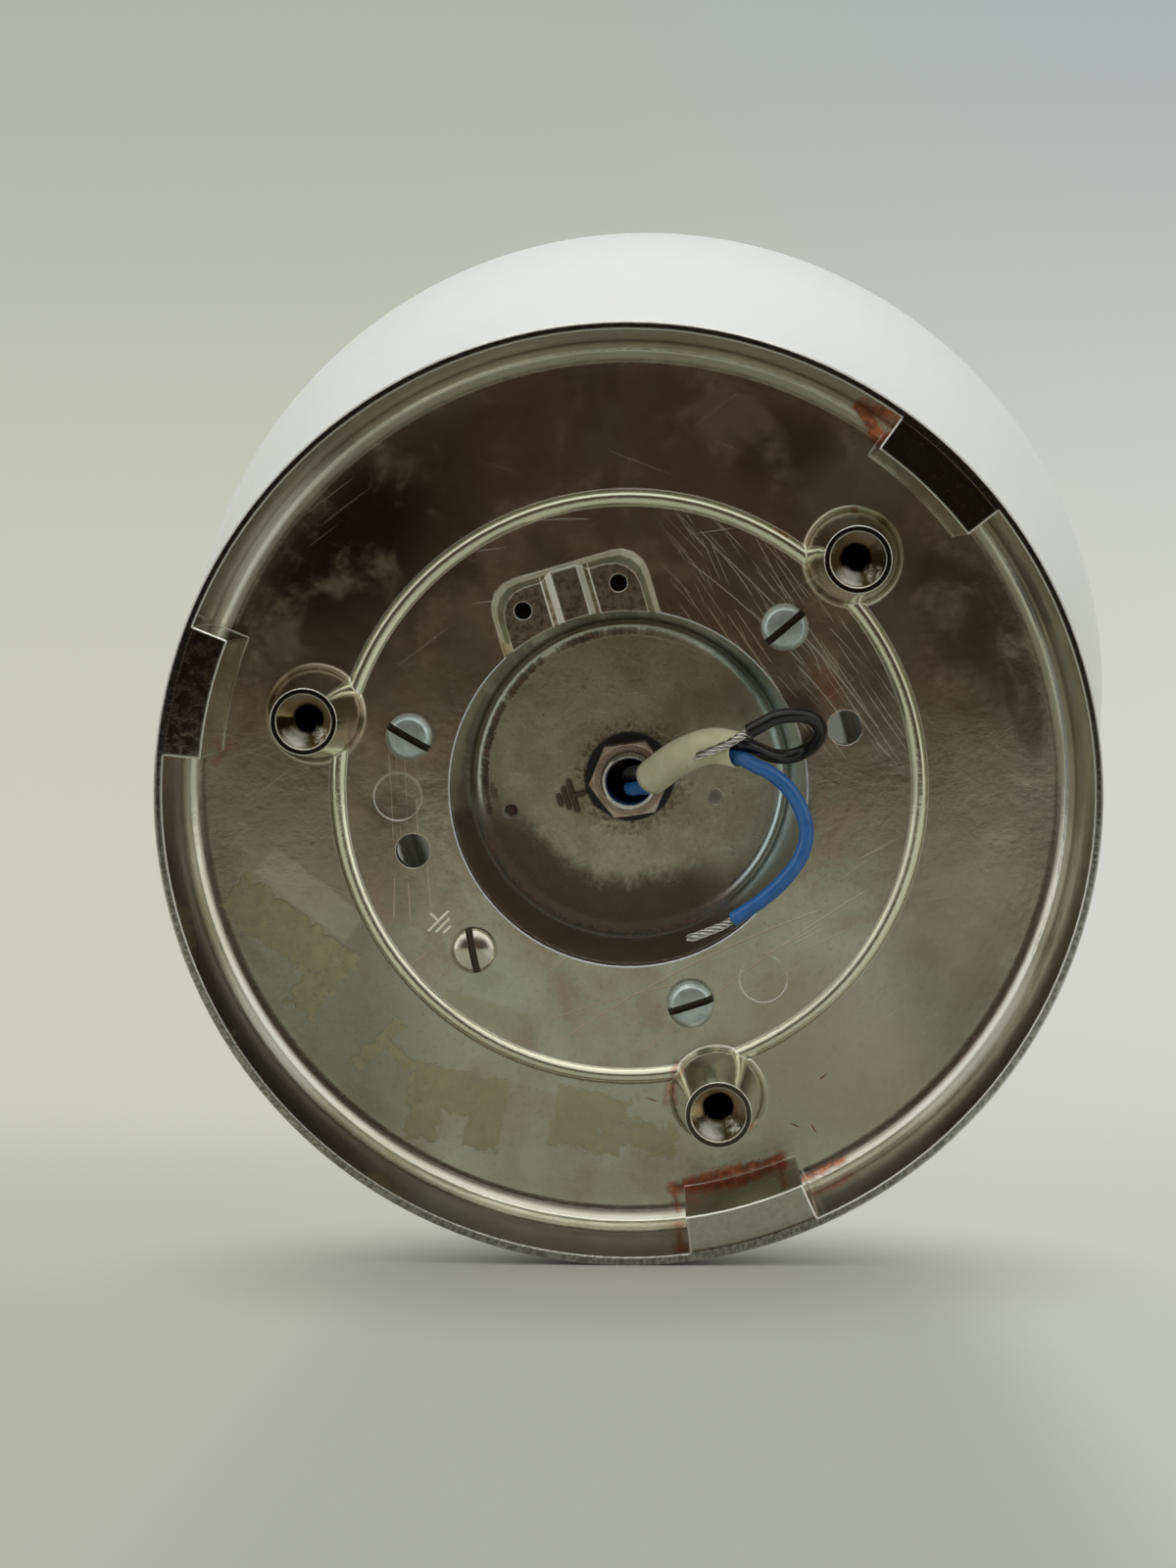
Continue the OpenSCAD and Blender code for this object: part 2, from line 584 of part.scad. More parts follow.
// Porcelain disc and post that carry the contacts
module lampholder_insert() {
    color("ivory") lamp_frame() difference() {
        union() {
            translate([0, 0, holder_ledge]) cylinder(h = insert_t, r = holder_in_r - seat_gap, $fn = fine);
            translate([0, 0, holder_ledge]) cylinder(h = insert_t + insert_post_h, r = shell_out_r - 0.1, $fn = fine);
        }
        for (s = [-1, 1]) translate([s * 9, 0, holder_ledge - eps])
            cylinder(h = 4.5 + eps, d = 2.6 + 2 * thread_gap, $fn = small);
    }
}

module lampholder_sleeve() {
    r = holder_d / 2;
    color("dimgray") lamp_frame() rotate_extrude($fn = fine) polygon([
        [sleeve_bore_r, holder_joint], [r, holder_joint], [r, holder_joint + 12],
        [sleeve_bore_r + holder_wall, holder_mouth], [sleeve_bore_r, holder_mouth]]);
}

module lampholder_shell() {
    color("goldenrod") lamp_frame() rotate_extrude($fn = fine) polygon([
        [shell_in_r, post_top], [shell_out_r, post_top],
        [shell_out_r, holder_mouth - 2], [shell_in_r, holder_mouth - 2]]);
}

// Springy strip under the bulb's tip
module centre_contact() {
    color("goldenrod") lamp_frame() translate([0, 2.5, post_top]) rotate([90, 0, 0]) linear_extrude(5)
        polygon([[-7, 0], [-2, 0], [-2, strip_t], [0, contact_rise - strip_t], [3, contact_rise - strip_t],
            [3, contact_rise], [-0.5, contact_rise], [-2.6, strip_t], [-7, strip_t]]);
}

// Angled strip that touches the screw shell
module side_contact() {
    strip_end = shell_in_r - 0.2;
    color("goldenrod") lamp_frame() translate([0, 2, post_top]) rotate([90, 0, 0]) linear_extrude(4)
        polygon([[7, 0], [strip_end, 0], [strip_end, 3.4], [strip_end - strip_t, 3.4],
            [strip_end - strip_t, strip_t], [7, strip_t]]);
}

module terminal_screws() {
    color("silver") lamp_frame() for (s = [-1, 1]) translate([s * 9, 0, holder_ledge])
        slotted_screw(4.4, 1.8, 2.6, 4, 90, false);
}

module bulb_glass() {
    color("whitesmoke") lamp_frame() rotate_extrude($fn = fine) polygon(concat(
        teardrop(bulb_neck_d / 2 - 0.9, bulb_tip + bulb_cap_l - 4, bulb_tip + bulb_cap_l + 8,
            bulb_d / 2, bulb_centre, 0, 8),
        backwards(teardrop(bulb_neck_d / 2 - 0.9, bulb_tip + bulb_cap_l - 4, bulb_tip + bulb_cap_l + 8,
            bulb_d / 2, bulb_centre, bulb_wall, 8))));
}

module bulb_cap() {
    color("silver") lamp_frame() rotate_extrude($fn = fine) polygon([
        [bulb_cap_d / 2 - 0.7, bulb_tip + 5], [bulb_cap_d / 2, bulb_tip + 5.6],
        [bulb_cap_d / 2, bulb_tip + 5 + bulb_cap_l], [bulb_neck_d / 2 - 0.7, bulb_tip + 5 + bulb_cap_l],
        [bulb_neck_d / 2 - 0.7, bulb_tip + 7.5], [bulb_cap_d / 2 - 1.4, bulb_tip + 5.6]]);
}

module bulb_insulator() {
    color("black") lamp_frame() rotate_extrude($fn = fine) polygon([
        [2, bulb_tip + 0.6], [4.8, bulb_tip + 0.6], [bulb_cap_d / 2 - 0.7, bulb_tip + 5],
        [bulb_cap_d / 2 - 1.4, bulb_tip + 5.6], [2, bulb_tip + 4]]);
}

module bulb_contact() {
    color("silver") lamp_frame() rotate_extrude($fn = small) polygon([
        [0, bulb_tip], [3.4, bulb_tip], [4.6, bulb_tip + 0.6 - thread_gap],
        [2 - thread_gap, bulb_tip + 0.6 - thread_gap], [2 - thread_gap, bulb_tip + 4], [0, bulb_tip + 4]]);
}

// Flared glass stem inside the bulb
module bulb_stem() {
    foot = bulb_tip + bulb_cap_l - 3;
    foot_r = bulb_neck_d / 2 - 0.9 - bulb_wall - seat_gap / 2;
    color("whitesmoke") lamp_frame() rotate_extrude($fn = small) polygon([
        [0, foot], [foot_r, foot], [foot_r, foot + 0.8], [4, foot + 6], [2.5, foot + 26], [2.5, bulb_centre - 12],
        [0, bulb_centre - 12]]);
}

// Two support wires and the filament between them
module bulb_filament() {
    color("dimgray") lamp_frame() translate([0, 0, bulb_centre - 12 + seat_gap]) {
        for (s = [-1, 1]) rotate([0, s * 35, 0]) cylinder(h = 18, r = 0.4, $fn = 16);
        translate([0, 0, 14.5]) rotate([0, 90, 0]) cylinder(h = 21.4, r = 0.5, $fn = 16, center = true);
    }
}

module glass_shade() {
    color("white") lamp_frame() rotate_extrude($fn = fine) polygon(concat(
        teardrop(neck_d / 2, neck_back, neck_back + neck_l, shade_d / 2, shade_reach),
        backwards(teardrop(neck_d / 2, neck_back, neck_back + neck_l, shade_d / 2, shade_reach, glass_t))));
}

module shade_gasket() {
    color("white") lamp_frame() translate([0, 0, flange_front]) difference() {
        cylinder(h = gasket_t, r = gasket_out_r, $fn = fine);
        translate([0, 0, -eps]) cylinder(h = gasket_t + 2 * eps, r = gasket_in_r, $fn = fine);
    }
}

// Shank and knurled knob of one grip screw, reaching in from outside the gallery rim
module grip_screw(i) {
    start = neck_d / 2 + seat_gap + grip_tip_l;
    knob = gallery_out_r + 5;
    color("gainsboro") lamp_frame() rotate([0, 0, grip_angles[i]]) translate([0, 0, grip_level])
        rotate([0, 90, 0]) {
            translate([0, 0, start]) cylinder(h = knob - start + 1, d = grip_d, $fn = small);
            translate([0, 0, knob]) cylinder(h = grip_knob_l, d = grip_knob_d, $fn = 32);
        }
}

// Soft tip in the end of a grip screw, which bears on the glass
module grip_tip(i) {
    color("white") lamp_frame() rotate([0, 0, grip_angles[i]])
        translate([neck_d / 2 + seat_gap, 0, grip_level])
            rotate([0, 90, 0]) cylinder(h = grip_tip_l, d = grip_d - 0.2, $fn = small);
}

module lead_sleeve() {
    color("khaki") swept_sleeve(sleeve_route, sleeve_d, sleeve_wall);
}

module blue_lead() { color("royalblue") swept_cord(blue_route, lead_d); }

module black_lead() { color("black") swept_cord(black_route, lead_d); }

module blue_strands() { color("silver") swept_cord(blue_strand_route, strand_d); }

module black_strands() { color("silver") swept_cord(black_strand_route, strand_d); }

module blue_lead_inner() { color("royalblue") swept_cord(blue_inner_route, lead_d); }

module black_lead_inner() { color("black") swept_cord(black_inner_route, lead_d); }

base_dish();
gallery_cup();
plate_screws();
earth_screw();
tube();
tube_washer();
tube_nut();
tube_locknut();
lampholder_cap();
lampholder_insert();
lampholder_sleeve();
lampholder_shell();
centre_contact();
side_contact();
terminal_screws();
bulb_glass();
bulb_cap();
bulb_insulator();
bulb_contact();
bulb_stem();
bulb_filament();
glass_shade();
shade_gasket();
grip_screw(0);  // grip_screw_1
grip_screw(1);  // grip_screw_2
grip_screw(2);  // grip_screw_3
grip_tip(0);  // grip_tip_1
grip_tip(1);  // grip_tip_2
grip_tip(2);  // grip_tip_3
lead_sleeve();
blue_lead();
black_lead();
blue_strands();
black_strands();
blue_lead_inner();
black_lead_inner();
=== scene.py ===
import math

import bpy
import bmesh
from mathutils import Matrix, Vector


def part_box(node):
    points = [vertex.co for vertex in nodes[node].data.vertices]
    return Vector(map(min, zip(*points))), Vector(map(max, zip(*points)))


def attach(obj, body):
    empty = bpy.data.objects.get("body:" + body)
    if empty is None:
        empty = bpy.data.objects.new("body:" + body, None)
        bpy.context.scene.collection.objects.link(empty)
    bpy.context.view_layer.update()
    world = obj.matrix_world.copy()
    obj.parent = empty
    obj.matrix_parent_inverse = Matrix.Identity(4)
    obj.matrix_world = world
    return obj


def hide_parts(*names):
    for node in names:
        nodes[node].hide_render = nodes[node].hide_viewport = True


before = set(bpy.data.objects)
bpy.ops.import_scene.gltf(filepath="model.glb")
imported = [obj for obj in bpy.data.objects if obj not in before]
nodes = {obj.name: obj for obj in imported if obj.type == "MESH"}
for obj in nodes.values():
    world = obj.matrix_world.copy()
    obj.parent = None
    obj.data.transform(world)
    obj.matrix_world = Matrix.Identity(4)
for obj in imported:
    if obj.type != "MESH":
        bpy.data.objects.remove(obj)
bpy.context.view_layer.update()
MM = 0.001


# ---- camera, as solved from the circles of the base in the photo
camera = bpy.data.objects.new("camera", bpy.data.cameras.new("camera"))
bpy.context.scene.collection.objects.link(camera)
bpy.context.scene.camera = camera
camera.data.lens = 67.5
camera.data.sensor_width = 36
camera.data.clip_start = 0.01
camera.data.clip_end = 20
right = Vector((0.99951, 0.03119, -0.00324))
up = Vector((0, 0.10332, 0.99465))
back = Vector((0.03136, -0.99416, 0.10327))
turn = Matrix((right, up, back)).transposed().to_4x4()
camera.matrix_world = Matrix.Translation(Vector((9.11, -492.05, 53.97)) * MM) @ turn


# ---- mesh helpers
def add_object(name, mesh):
    """Puts a smooth-shaded mesh into the scene."""
    mesh.polygons.foreach_set("use_smooth", [True] * len(mesh.polygons))
    obj = bpy.data.objects.new(name, mesh)
    bpy.context.scene.collection.objects.link(obj)
    return obj


def new_object(name, verts, faces):
    mesh = bpy.data.meshes.new(name)
    mesh.from_pydata([tuple(v) for v in verts], [], faces)
    mesh.update()
    return add_object(name, mesh)


def mend(mesh, weld=0):
    """Turns the faces outward, after joining the points that are nearer than weld."""
    bm = bmesh.new()
    bm.from_mesh(mesh)
    if weld:
        bmesh.ops.remove_doubles(bm, verts=bm.verts, dist=weld)
        bmesh.ops.dissolve_degenerate(bm, edges=bm.edges, dist=weld / 10)
    bmesh.ops.recalc_face_normals(bm, faces=bm.faces)
    bm.to_mesh(mesh)
    bm.free()


def skin(rows, sides, closed):
    """Quads between rings of points, and from the last ring to the first if closed."""
    faces = []
    for i in range(rows if closed else rows - 1):
        j = (i + 1) % rows
        for k in range(sides):
            m = (k + 1) % sides
            faces.append((i * sides + k, i * sides + m, j * sides + m, j * sides + k))
    return faces


def stand_in(obj, node, body):
    """The finer piece moves with its body and takes the node's place."""
    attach(obj, body)
    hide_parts(node)
    return obj


def smooth_path(points, per_span):
    """Catmull-Rom curve through the points."""
    p = [Vector(q) for q in points]
    p = [2 * p[0] - p[1]] + p + [2 * p[-1] - p[-2]]
    out = []
    for i in range(1, len(p) - 2):
        a, b, c, d = p[i - 1:i + 3]
        for k in range(per_span):
            t = k / per_span
            out.append(0.5 * (2 * b + (c - a) * t + (2 * a - 5 * b + 4 * c - d) * t * t
                              + (3 * b - a - 3 * c + d) * t ** 3))
    out.append(p[-2])
    return out


def path_frames(path):
    """A normal and a binormal at each point, carried along without twisting."""
    frames, n = [], None
    for i, q in enumerate(path):
        t = (path[min(i + 1, len(path) - 1)] - path[max(i - 1, 0)]).normalized()
        if n is None:
            n = Vector((0.3, 0.1, 1))
        n = (n - n.dot(t) * t).normalized()
        frames.append((t, n, t.cross(n)))
    return frames


def ring(q, n, b, r, sides):
    """Points of a circle across a path."""
    angles = [2 * math.pi * k / sides for k in range(sides)]
    return [q + r * (math.cos(a) * n + math.sin(a) * b) for a in angles]


def swept(name, path, radius, sides):
    """Round bar along a path."""
    verts = []
    for q, (t, n, b) in zip(path, path_frames(path)):
        verts += ring(q, n, b, radius, sides)
    ends = [tuple(reversed(range(sides))), tuple(range((len(path) - 1) * sides, len(path) * sides))]
    return new_object(name, verts, skin(len(path), sides, False) + ends)


# ---- leads: routes of the CAD solids, in mm
LEAD_R, SLEEVE_OUT_R, SLEEVE_IN_R = 1.3, 3.15, 2.9
blue_route = [(0.3, 36, -1.4), (0.3, 33, -1.4), (1.8, 30.6, -1), (4.2, 28.2, -0.3), (7.7, 23.2, 2.9),
              (11.2, 18.2, 5.3), (15.2, 14.2, 6.7), (19.5, 10.2, 6.2), (21.9, 8.9, 5.1), (24.5, 8.2, 3.9),
              (27.6, 8, 1.2), (29.8, 8, -2.5), (30.7, 8, -6.7), (29.5, 8, -10.9), (26.6, 8.5, -14.9),
              (23.3, 9, -18), (20.3, 9.5, -20.2), (18.2, 10, -21.6)]
black_route = [(-0.3, 36, 1.4), (-0.3, 33, 1.4), (0.9, 31, 1.8), (3.8, 28.8, 2.3), (7.3, 23.8, 5.5),
               (10.8, 18.8, 7.9), (14.8, 14.8, 9.3), (19.2, 10.9, 8.95), (21.9, 11.4, 7.9), (24.9, 12.8, 6.5),
               (27.9, 13.8, 6.2), (30.6, 13.4, 7.2), (32.6, 11.5, 9.2), (33, 9.5, 11.5), (31.5, 8, 13.3),
               (28.8, 7, 13.9), (25.5, 6.3, 13.6), (22.6, 6, 12.2), (20.6, 6, 11.1)]
sleeve_route = [(4, 28.5, 1), (7.5, 23.5, 4.2), (11, 18.5, 6.6), (15, 14.5, 8), (19.4, 10.5, 7.6)]
blue_strand_route = [(18.08, 10.03, -21.68), (16.2, 10.45, -22.9), (13.4, 10.7, -24.1), (10.2, 11, -25.3)]
black_strand_route = [(20.47, 6, 11.03), (19.2, 6.1, 10.3), (17.4, 7, 9.1), (14.6, 9, 7.7), (11.8, 11.2, 6.3)]


def metres(route):
    return [Vector(p) * MM for p in route]


def lead(name, route, per_span=6):
    path = smooth_path(metres(route), per_span)
    return swept(name, path, LEAD_R * MM, 24), path


blue_cord, blue_path = lead("blue_cord", blue_route)
black_cord, black_path = lead("black_cord", black_route)


def strand_bundle(name, route, count=11, bundle=0.75, thread=0.17, turns=1.3):
    """Fine wires laid side by side in a slightly twisted bundle, a little frayed at the end."""
    path = smooth_path(metres(route), 10)
    frames = path_frames(path)
    parts = []
    for s in range(count):
        offset = 0 if s == 0 else (bundle - thread) * (0.55 if s % 2 else 1)
        start = 2 * math.pi * s / max(count - 1, 1)
        line = []
        for i, (q, (t, n, b)) in enumerate(zip(path, frames)):
            f = i / (len(path) - 1)
            a = start + 2 * math.pi * turns * f
            splay = 1 + 0.15 * max(0, f - 0.7) * math.sin(5.1 * s)
            r = offset * splay * MM
            line.append(q + r * (math.cos(a) * n + math.sin(a) * b))
        cut = len(line) - (s * 7 % 4)
        parts.append(swept(f"{name}_{s}", line[:cut], thread * MM, 8))
    return join(parts, name)


def join(parts, name):
    mesh = bpy.data.meshes.new(name)
    bm = bmesh.new()
    for p in parts:
        bm.from_mesh(p.data)
    bm.to_mesh(mesh)
    bm.free()
    for p in parts:
        bpy.data.objects.remove(p)
    return add_object(name, mesh)


blue_wires = strand_bundle("blue_wires", blue_strand_route)
black_wires = strand_bundle("black_wires", black_strand_route)


def sleeve_tube(name, path, outer, inner, sides=36):
    """Thin tube: ring by ring along the outside and back along the inside."""
    rows = [(q, n, b, outer) for q, (t, n, b) in zip(path, path_frames(path))]
    rows += [(q, n, b, inner) for q, n, b, _ in reversed(rows)]
    return new_object(name, [v for row in rows for v in ring(*row, sides)], skin(len(rows), sides, True))


sleeve = sleeve_tube("cream_sleeve", smooth_path(metres(sleeve_route), 8), SLEEVE_OUT_R * MM, SLEEVE_IN_R * MM)

for piece, node, slot in (
        (blue_cord, "blue_lead", "blue_pvc"), (black_cord, "black_lead", "black_pvc"),
        (blue_wires, "blue_strands", "tinned"), (black_wires, "black_strands", "tinned"),
        (sleeve, "lead_sleeve", "cream_sleeve")):
    stand_in(piece, node, "base")


# ---- turned pieces
def lathe(name, profile, segments=128, radius=None, sharp=40, place=None):
    """Closed outline of (radius, distance) in mm, turned round the lamp axis or a placed one."""
    verts = []
    for r, y in profile:
        for i in range(segments):
            a = 2 * math.pi * i / segments
            q = radius(r, y, a) if radius else r
            at = Vector((q * math.cos(a), y, q * math.sin(a)))
            verts.append((place @ at if place else at) * MM)
    obj = new_object(name, verts, skin(len(profile), segments, True))
    mend(obj.data, 1e-6)
    obj.data.set_sharp_from_angle(angle=math.radians(sharp))
    return obj


def bow(x, y, r, start, end, steps):
    return [(x + r * math.cos(math.radians(start + (end - start) * i / steps)),
             y + r * math.sin(math.radians(start + (end - start) * i / steps))) for i in range(steps + 1)]


def teardrop(neck, begin, end, ball, centre, inset, steps):
    """Straight neck, hollow flare and ball, as in the CAD model."""
    flare = ((centre - end) ** 2 + neck ** 2 - ball ** 2) / (2 * (ball - neck))
    lean = math.degrees(math.atan2(centre - end, neck + flare))
    line = [(neck - inset, begin)]
    line += bow(neck + flare, end, flare + inset, 180, 180 - lean, steps)
    line += bow(0, centre, ball - inset, -lean, 90, 2 * steps)[1:]
    line[-1] = (0, line[-1][1])
    return line


GLASS, NECK_R, NECK_END, BALL_R, BALL_CENTRE = 3, 42.5, 44, 115, 257
neck_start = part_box("glass_shade")[0].y / MM
glass_out = teardrop(NECK_R, neck_start, NECK_END, BALL_R, BALL_CENTRE, 0, 32)
glass_in = teardrop(NECK_R, neck_start, NECK_END, BALL_R, BALL_CENTRE, GLASS, 32)
lip_mid, lip_r = neck_start + 1, GLASS / 2
lip = [(r, lip_mid + (y - lip_mid) / lip_r) for r, y in bow(NECK_R - lip_r, lip_mid, lip_r, 180, 360, 10)]
shade = stand_in(lathe("opal_shade", list(reversed(glass_in[1:])) + lip + glass_out[1:], 192),
                 "glass_shade", "shade")


def helix(r, y, a, pitch, depth, fade=(0, 0)):
    """Radius of a rounded right-hand thread; fade is the stretch over which it starts and ends."""
    wave = 0.5 - 0.5 * math.cos(2 * math.pi * (y / pitch + a / (2 * math.pi)))
    ease = min(1, max(0, (y - fade[0]) / pitch)) * min(1, max(0, (fade[1] - y) / pitch))
    return r - depth * wave * ease


def rungs(r, low, high, step):
    count = max(2, round(abs(high - low) / step))
    return [(r, low + (high - low) * i / count) for i in range(count + 1)]


def ends(node):
    low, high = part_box(node)
    return low.y / MM, high.y / MM


# threaded lamp tube with broken edges
TUBE_R, TUBE_PITCH = 5, 1
low, high = ends("tube")
tube = lathe("thread_tube",
             [(4.05, low + 0.3), (4.3, low), (4.6, low)] + rungs(TUBE_R, low + 0.35, high - 0.35, 0.125)
             + [(4.6, high), (4.3, high), (4.05, high - 0.3)], 72,
             lambda r, y, a: helix(r, y, a, TUBE_PITCH, 0.5, (low, high)) if r == TUBE_R else r, 50)
stand_in(tube, "tube", "base")

# screw cap of the bulb and the shell that takes it
E27_PITCH, CAP_R = 3.629, 13.1
cap_low, cap_high = ends("bulb_cap")
cap = lathe("bulb_screw_cap",
            [(12.4, cap_low), (12.9, cap_low + 0.3)] + rungs(CAP_R, cap_low + 0.6, cap_high - 1.5, 0.3)
            + [(12.9, cap_high - 0.5), (12.6, cap_high), (12.3, cap_high), (12.3, cap_low + 2.5),
               (11.7, cap_low + 0.6)], 96,
            lambda r, y, a: helix(r, y, a, E27_PITCH, 0.75, (cap_low, cap_high - 2)) if r == CAP_R else r)
stand_in(cap, "bulb_cap", "bulb")
shell_low, shell_high = ends("lampholder_shell")
shell = lathe("holder_screw_shell",
              rungs(14.3, shell_low, shell_high, 0.3) + rungs(13.5, shell_high, shell_low, 0.3), 96,
              lambda r, y, a: helix(r, y, a, E27_PITCH, 0.32, (shell_low, shell_high)))
stand_in(shell, "lampholder_shell", "base")

# bulb envelope
BULB_NECK_R, BULB_R, BULB_WALL = 12.1, 30, 0.8
bulb_low, bulb_high = ends("bulb_glass")
envelope = [teardrop(BULB_NECK_R, bulb_low, bulb_low + 12, BULB_R, bulb_high - BULB_R, inset, 24)
            for inset in (0, BULB_WALL)]
bulb = lathe("bulb_envelope", envelope[0] + list(reversed(envelope[1])), 96)
stand_in(bulb, "bulb_glass", "bulb")

# coiled filament on two supports
wire_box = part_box("bulb_filament")
foot, top = wire_box[0].y + 0.0004, wire_box[1].y - 0.0006
half = (wire_box[1].x - wire_box[0].x) / 2 - 0.0008
COIL_R, COIL_STEPS, STEP_TURN = 0.00042, 720, 0.5236
coil = [Vector((-half + 2 * half * i / COIL_STEPS, top + COIL_R * math.cos(i * STEP_TURN),
                COIL_R * math.sin(i * STEP_TURN))) for i in range(COIL_STEPS + 1)]
posts = [smooth_path([(side * 0.0012, foot, 0), (side * 0.003, foot + 0.006, 0),
                      (side * half * 0.92, top - 0.002, 0), (side * half, top, 0)], 8) for side in (-1, 1)]
filament = join([swept("coil", coil, 0.00011, 6)] + [swept("post", p, 0.0003, 10) for p in posts], "bulb_coil")
stand_in(filament, "bulb_filament", "bulb")

# knurled grip screws
GRIP_ANGLES = (13.8, 133.8, 253.8)
GRIP_THREAD_R, KNOB_R, KNURLS = 2, 6, 40


def grip_radius(r, y, a):
    """Thread on the stem and knurls on the head."""
    if r == GRIP_THREAD_R:
        return helix(r, y, a, 0.7, 0.32, (45, 52.8))
    return r - 0.35 * abs((a * KNURLS / (2 * math.pi)) % 1 * 2 - 1) if r == KNOB_R else r


grips = []
for i, degrees in enumerate(GRIP_ANGLES, 1):
    a = math.radians(degrees)
    radial = Vector((math.cos(a), 0, -math.sin(a)))
    outward = Vector((0, 1, 0))
    place = Matrix.Translation(Vector((0, 33, 0))) @ Matrix(
        (radial.cross(outward), radial, outward)).transposed().to_4x4()
    knob = lathe("knurled_grip_%d" % i,
                 [(0, 44.8), (1.5, 44.8)] + rungs(GRIP_THREAD_R, 45.2, 52.7, 0.09)
                 + [(1.9, 52.9), (2.4, 53), (5.3, 53), (5.7, 53.2), (KNOB_R, 53.7), (KNOB_R, 59.3),
                    (5.7, 59.8), (5.3, 60), (4.2, 60), (3.9, 59.6), (3.7, 59.4), (0, 59.4)],
                 160, grip_radius, 30, place)
    grips.append(stand_in(knob, "grip_screw_%d" % i, "grip_%d" % i))

# slotted screws of the plate and of the earth terminal: turned, threaded, then slotted
SCREW_CIRCLE, PLATE_BACK, SLOT_W, SLOT_DEPTH = 39.25, 18, 1.2, 1.3
SCREW_PLACES = [(73.8, -18), (193.8, 30), (313.8, -40)]
EARTH_PLACE = (133.8, 79)


def screw_seat(degrees, slot_degrees):
    """Centre of a screw across the dish, and the direction of its slot, in degrees."""
    a = math.radians(degrees)
    return SCREW_CIRCLE * math.cos(a), -SCREW_CIRCLE * math.sin(a), -slot_degrees


def saw(obj, centre, degrees, half, low, high):
    """Takes a straight slot out of a mesh; sizes in mm."""
    a = math.radians(degrees)
    along, aside = Vector((math.cos(a), 0, math.sin(a))), Vector((-math.sin(a), 0, math.cos(a)))
    verts = [(Vector((centre[0], y, centre[1])) + along * u * half[0] + aside * v * half[1]) * MM
             for y in (low, high) for u, v in ((-1, -1), (1, -1), (1, 1), (-1, 1))]
    blade = new_object("blade", verts, [(0, 1, 2, 3), (7, 6, 5, 4)] + [(i, i + 4, (i + 1) % 4 + 4, (i + 1) % 4)
                                                                       for i in range(4)])
    mend(blade.data)
    cut = obj.modifiers.new("slot", "BOOLEAN")
    cut.operation, cut.solver, cut.object = "DIFFERENCE", "EXACT", blade
    mesh = bpy.data.meshes.new_from_object(obj.evaluated_get(bpy.context.evaluated_depsgraph_get()))
    obj.modifiers.clear()
    obj.data = mesh
    bpy.data.objects.remove(blade)
    mesh.polygons.foreach_set("use_smooth", [True] * len(mesh.polygons))
    mesh.set_sharp_from_angle(angle=math.radians(35))


def slotted_screw(name, place, head, thread, pitch, tip):
    """Screw whose head outline is given from the middle of its top to its underside."""
    x, z, turn = screw_seat(*place)
    root = thread / 2
    stem = rungs(root, PLATE_BACK + 0.01, tip - 0.4, 0.1) + [(root - 0.4, tip), (0, tip)]
    fade = (PLATE_BACK + 1, tip - 0.3)
    screw = lathe(name, head + stem, 72,
                  lambda r, y, a: helix(r, y, a, pitch, 0.3, fade) if r == root else r, 35,
                  Matrix.Translation(Vector((x, 0, z))))
    saw(screw, (x, z), turn, (5, SLOT_W / 2), head[0][1] - 1, head[0][1] + SLOT_DEPTH)
    return screw


flat_head = [(0, 15.1), (3.05, 15.1), (3.2, 15.16), (3.95, 15.9), (4.1, 16.2), (4.1, 17.8), (3.95, PLATE_BACK)]
dome = [math.pi / 2 * i / 14 for i in range(1, 15)]
round_head = [(0, 15.4)] + [(3.95 * math.sin(t), 17.01 - 1.61 * math.cos(t)) for t in dome]
round_head += [(3.95, 17.9), (3.85, PLATE_BACK)]
plate_screws = join([slotted_screw("plate_screw_%d" % i, place, flat_head, 4.9, 0.8, 24.2)
                     for i, place in enumerate(SCREW_PLACES)], "plate_screw_set")
plate_screws.data.set_sharp_from_angle(angle=math.radians(35))
stand_in(plate_screws, "plate_screws", "base")
earth_screw = slotted_screw("earth_terminal_screw", EARTH_PLACE, round_head, 3.9, 0.7, 22)
stand_in(earth_screw, "earth_screw", "base")


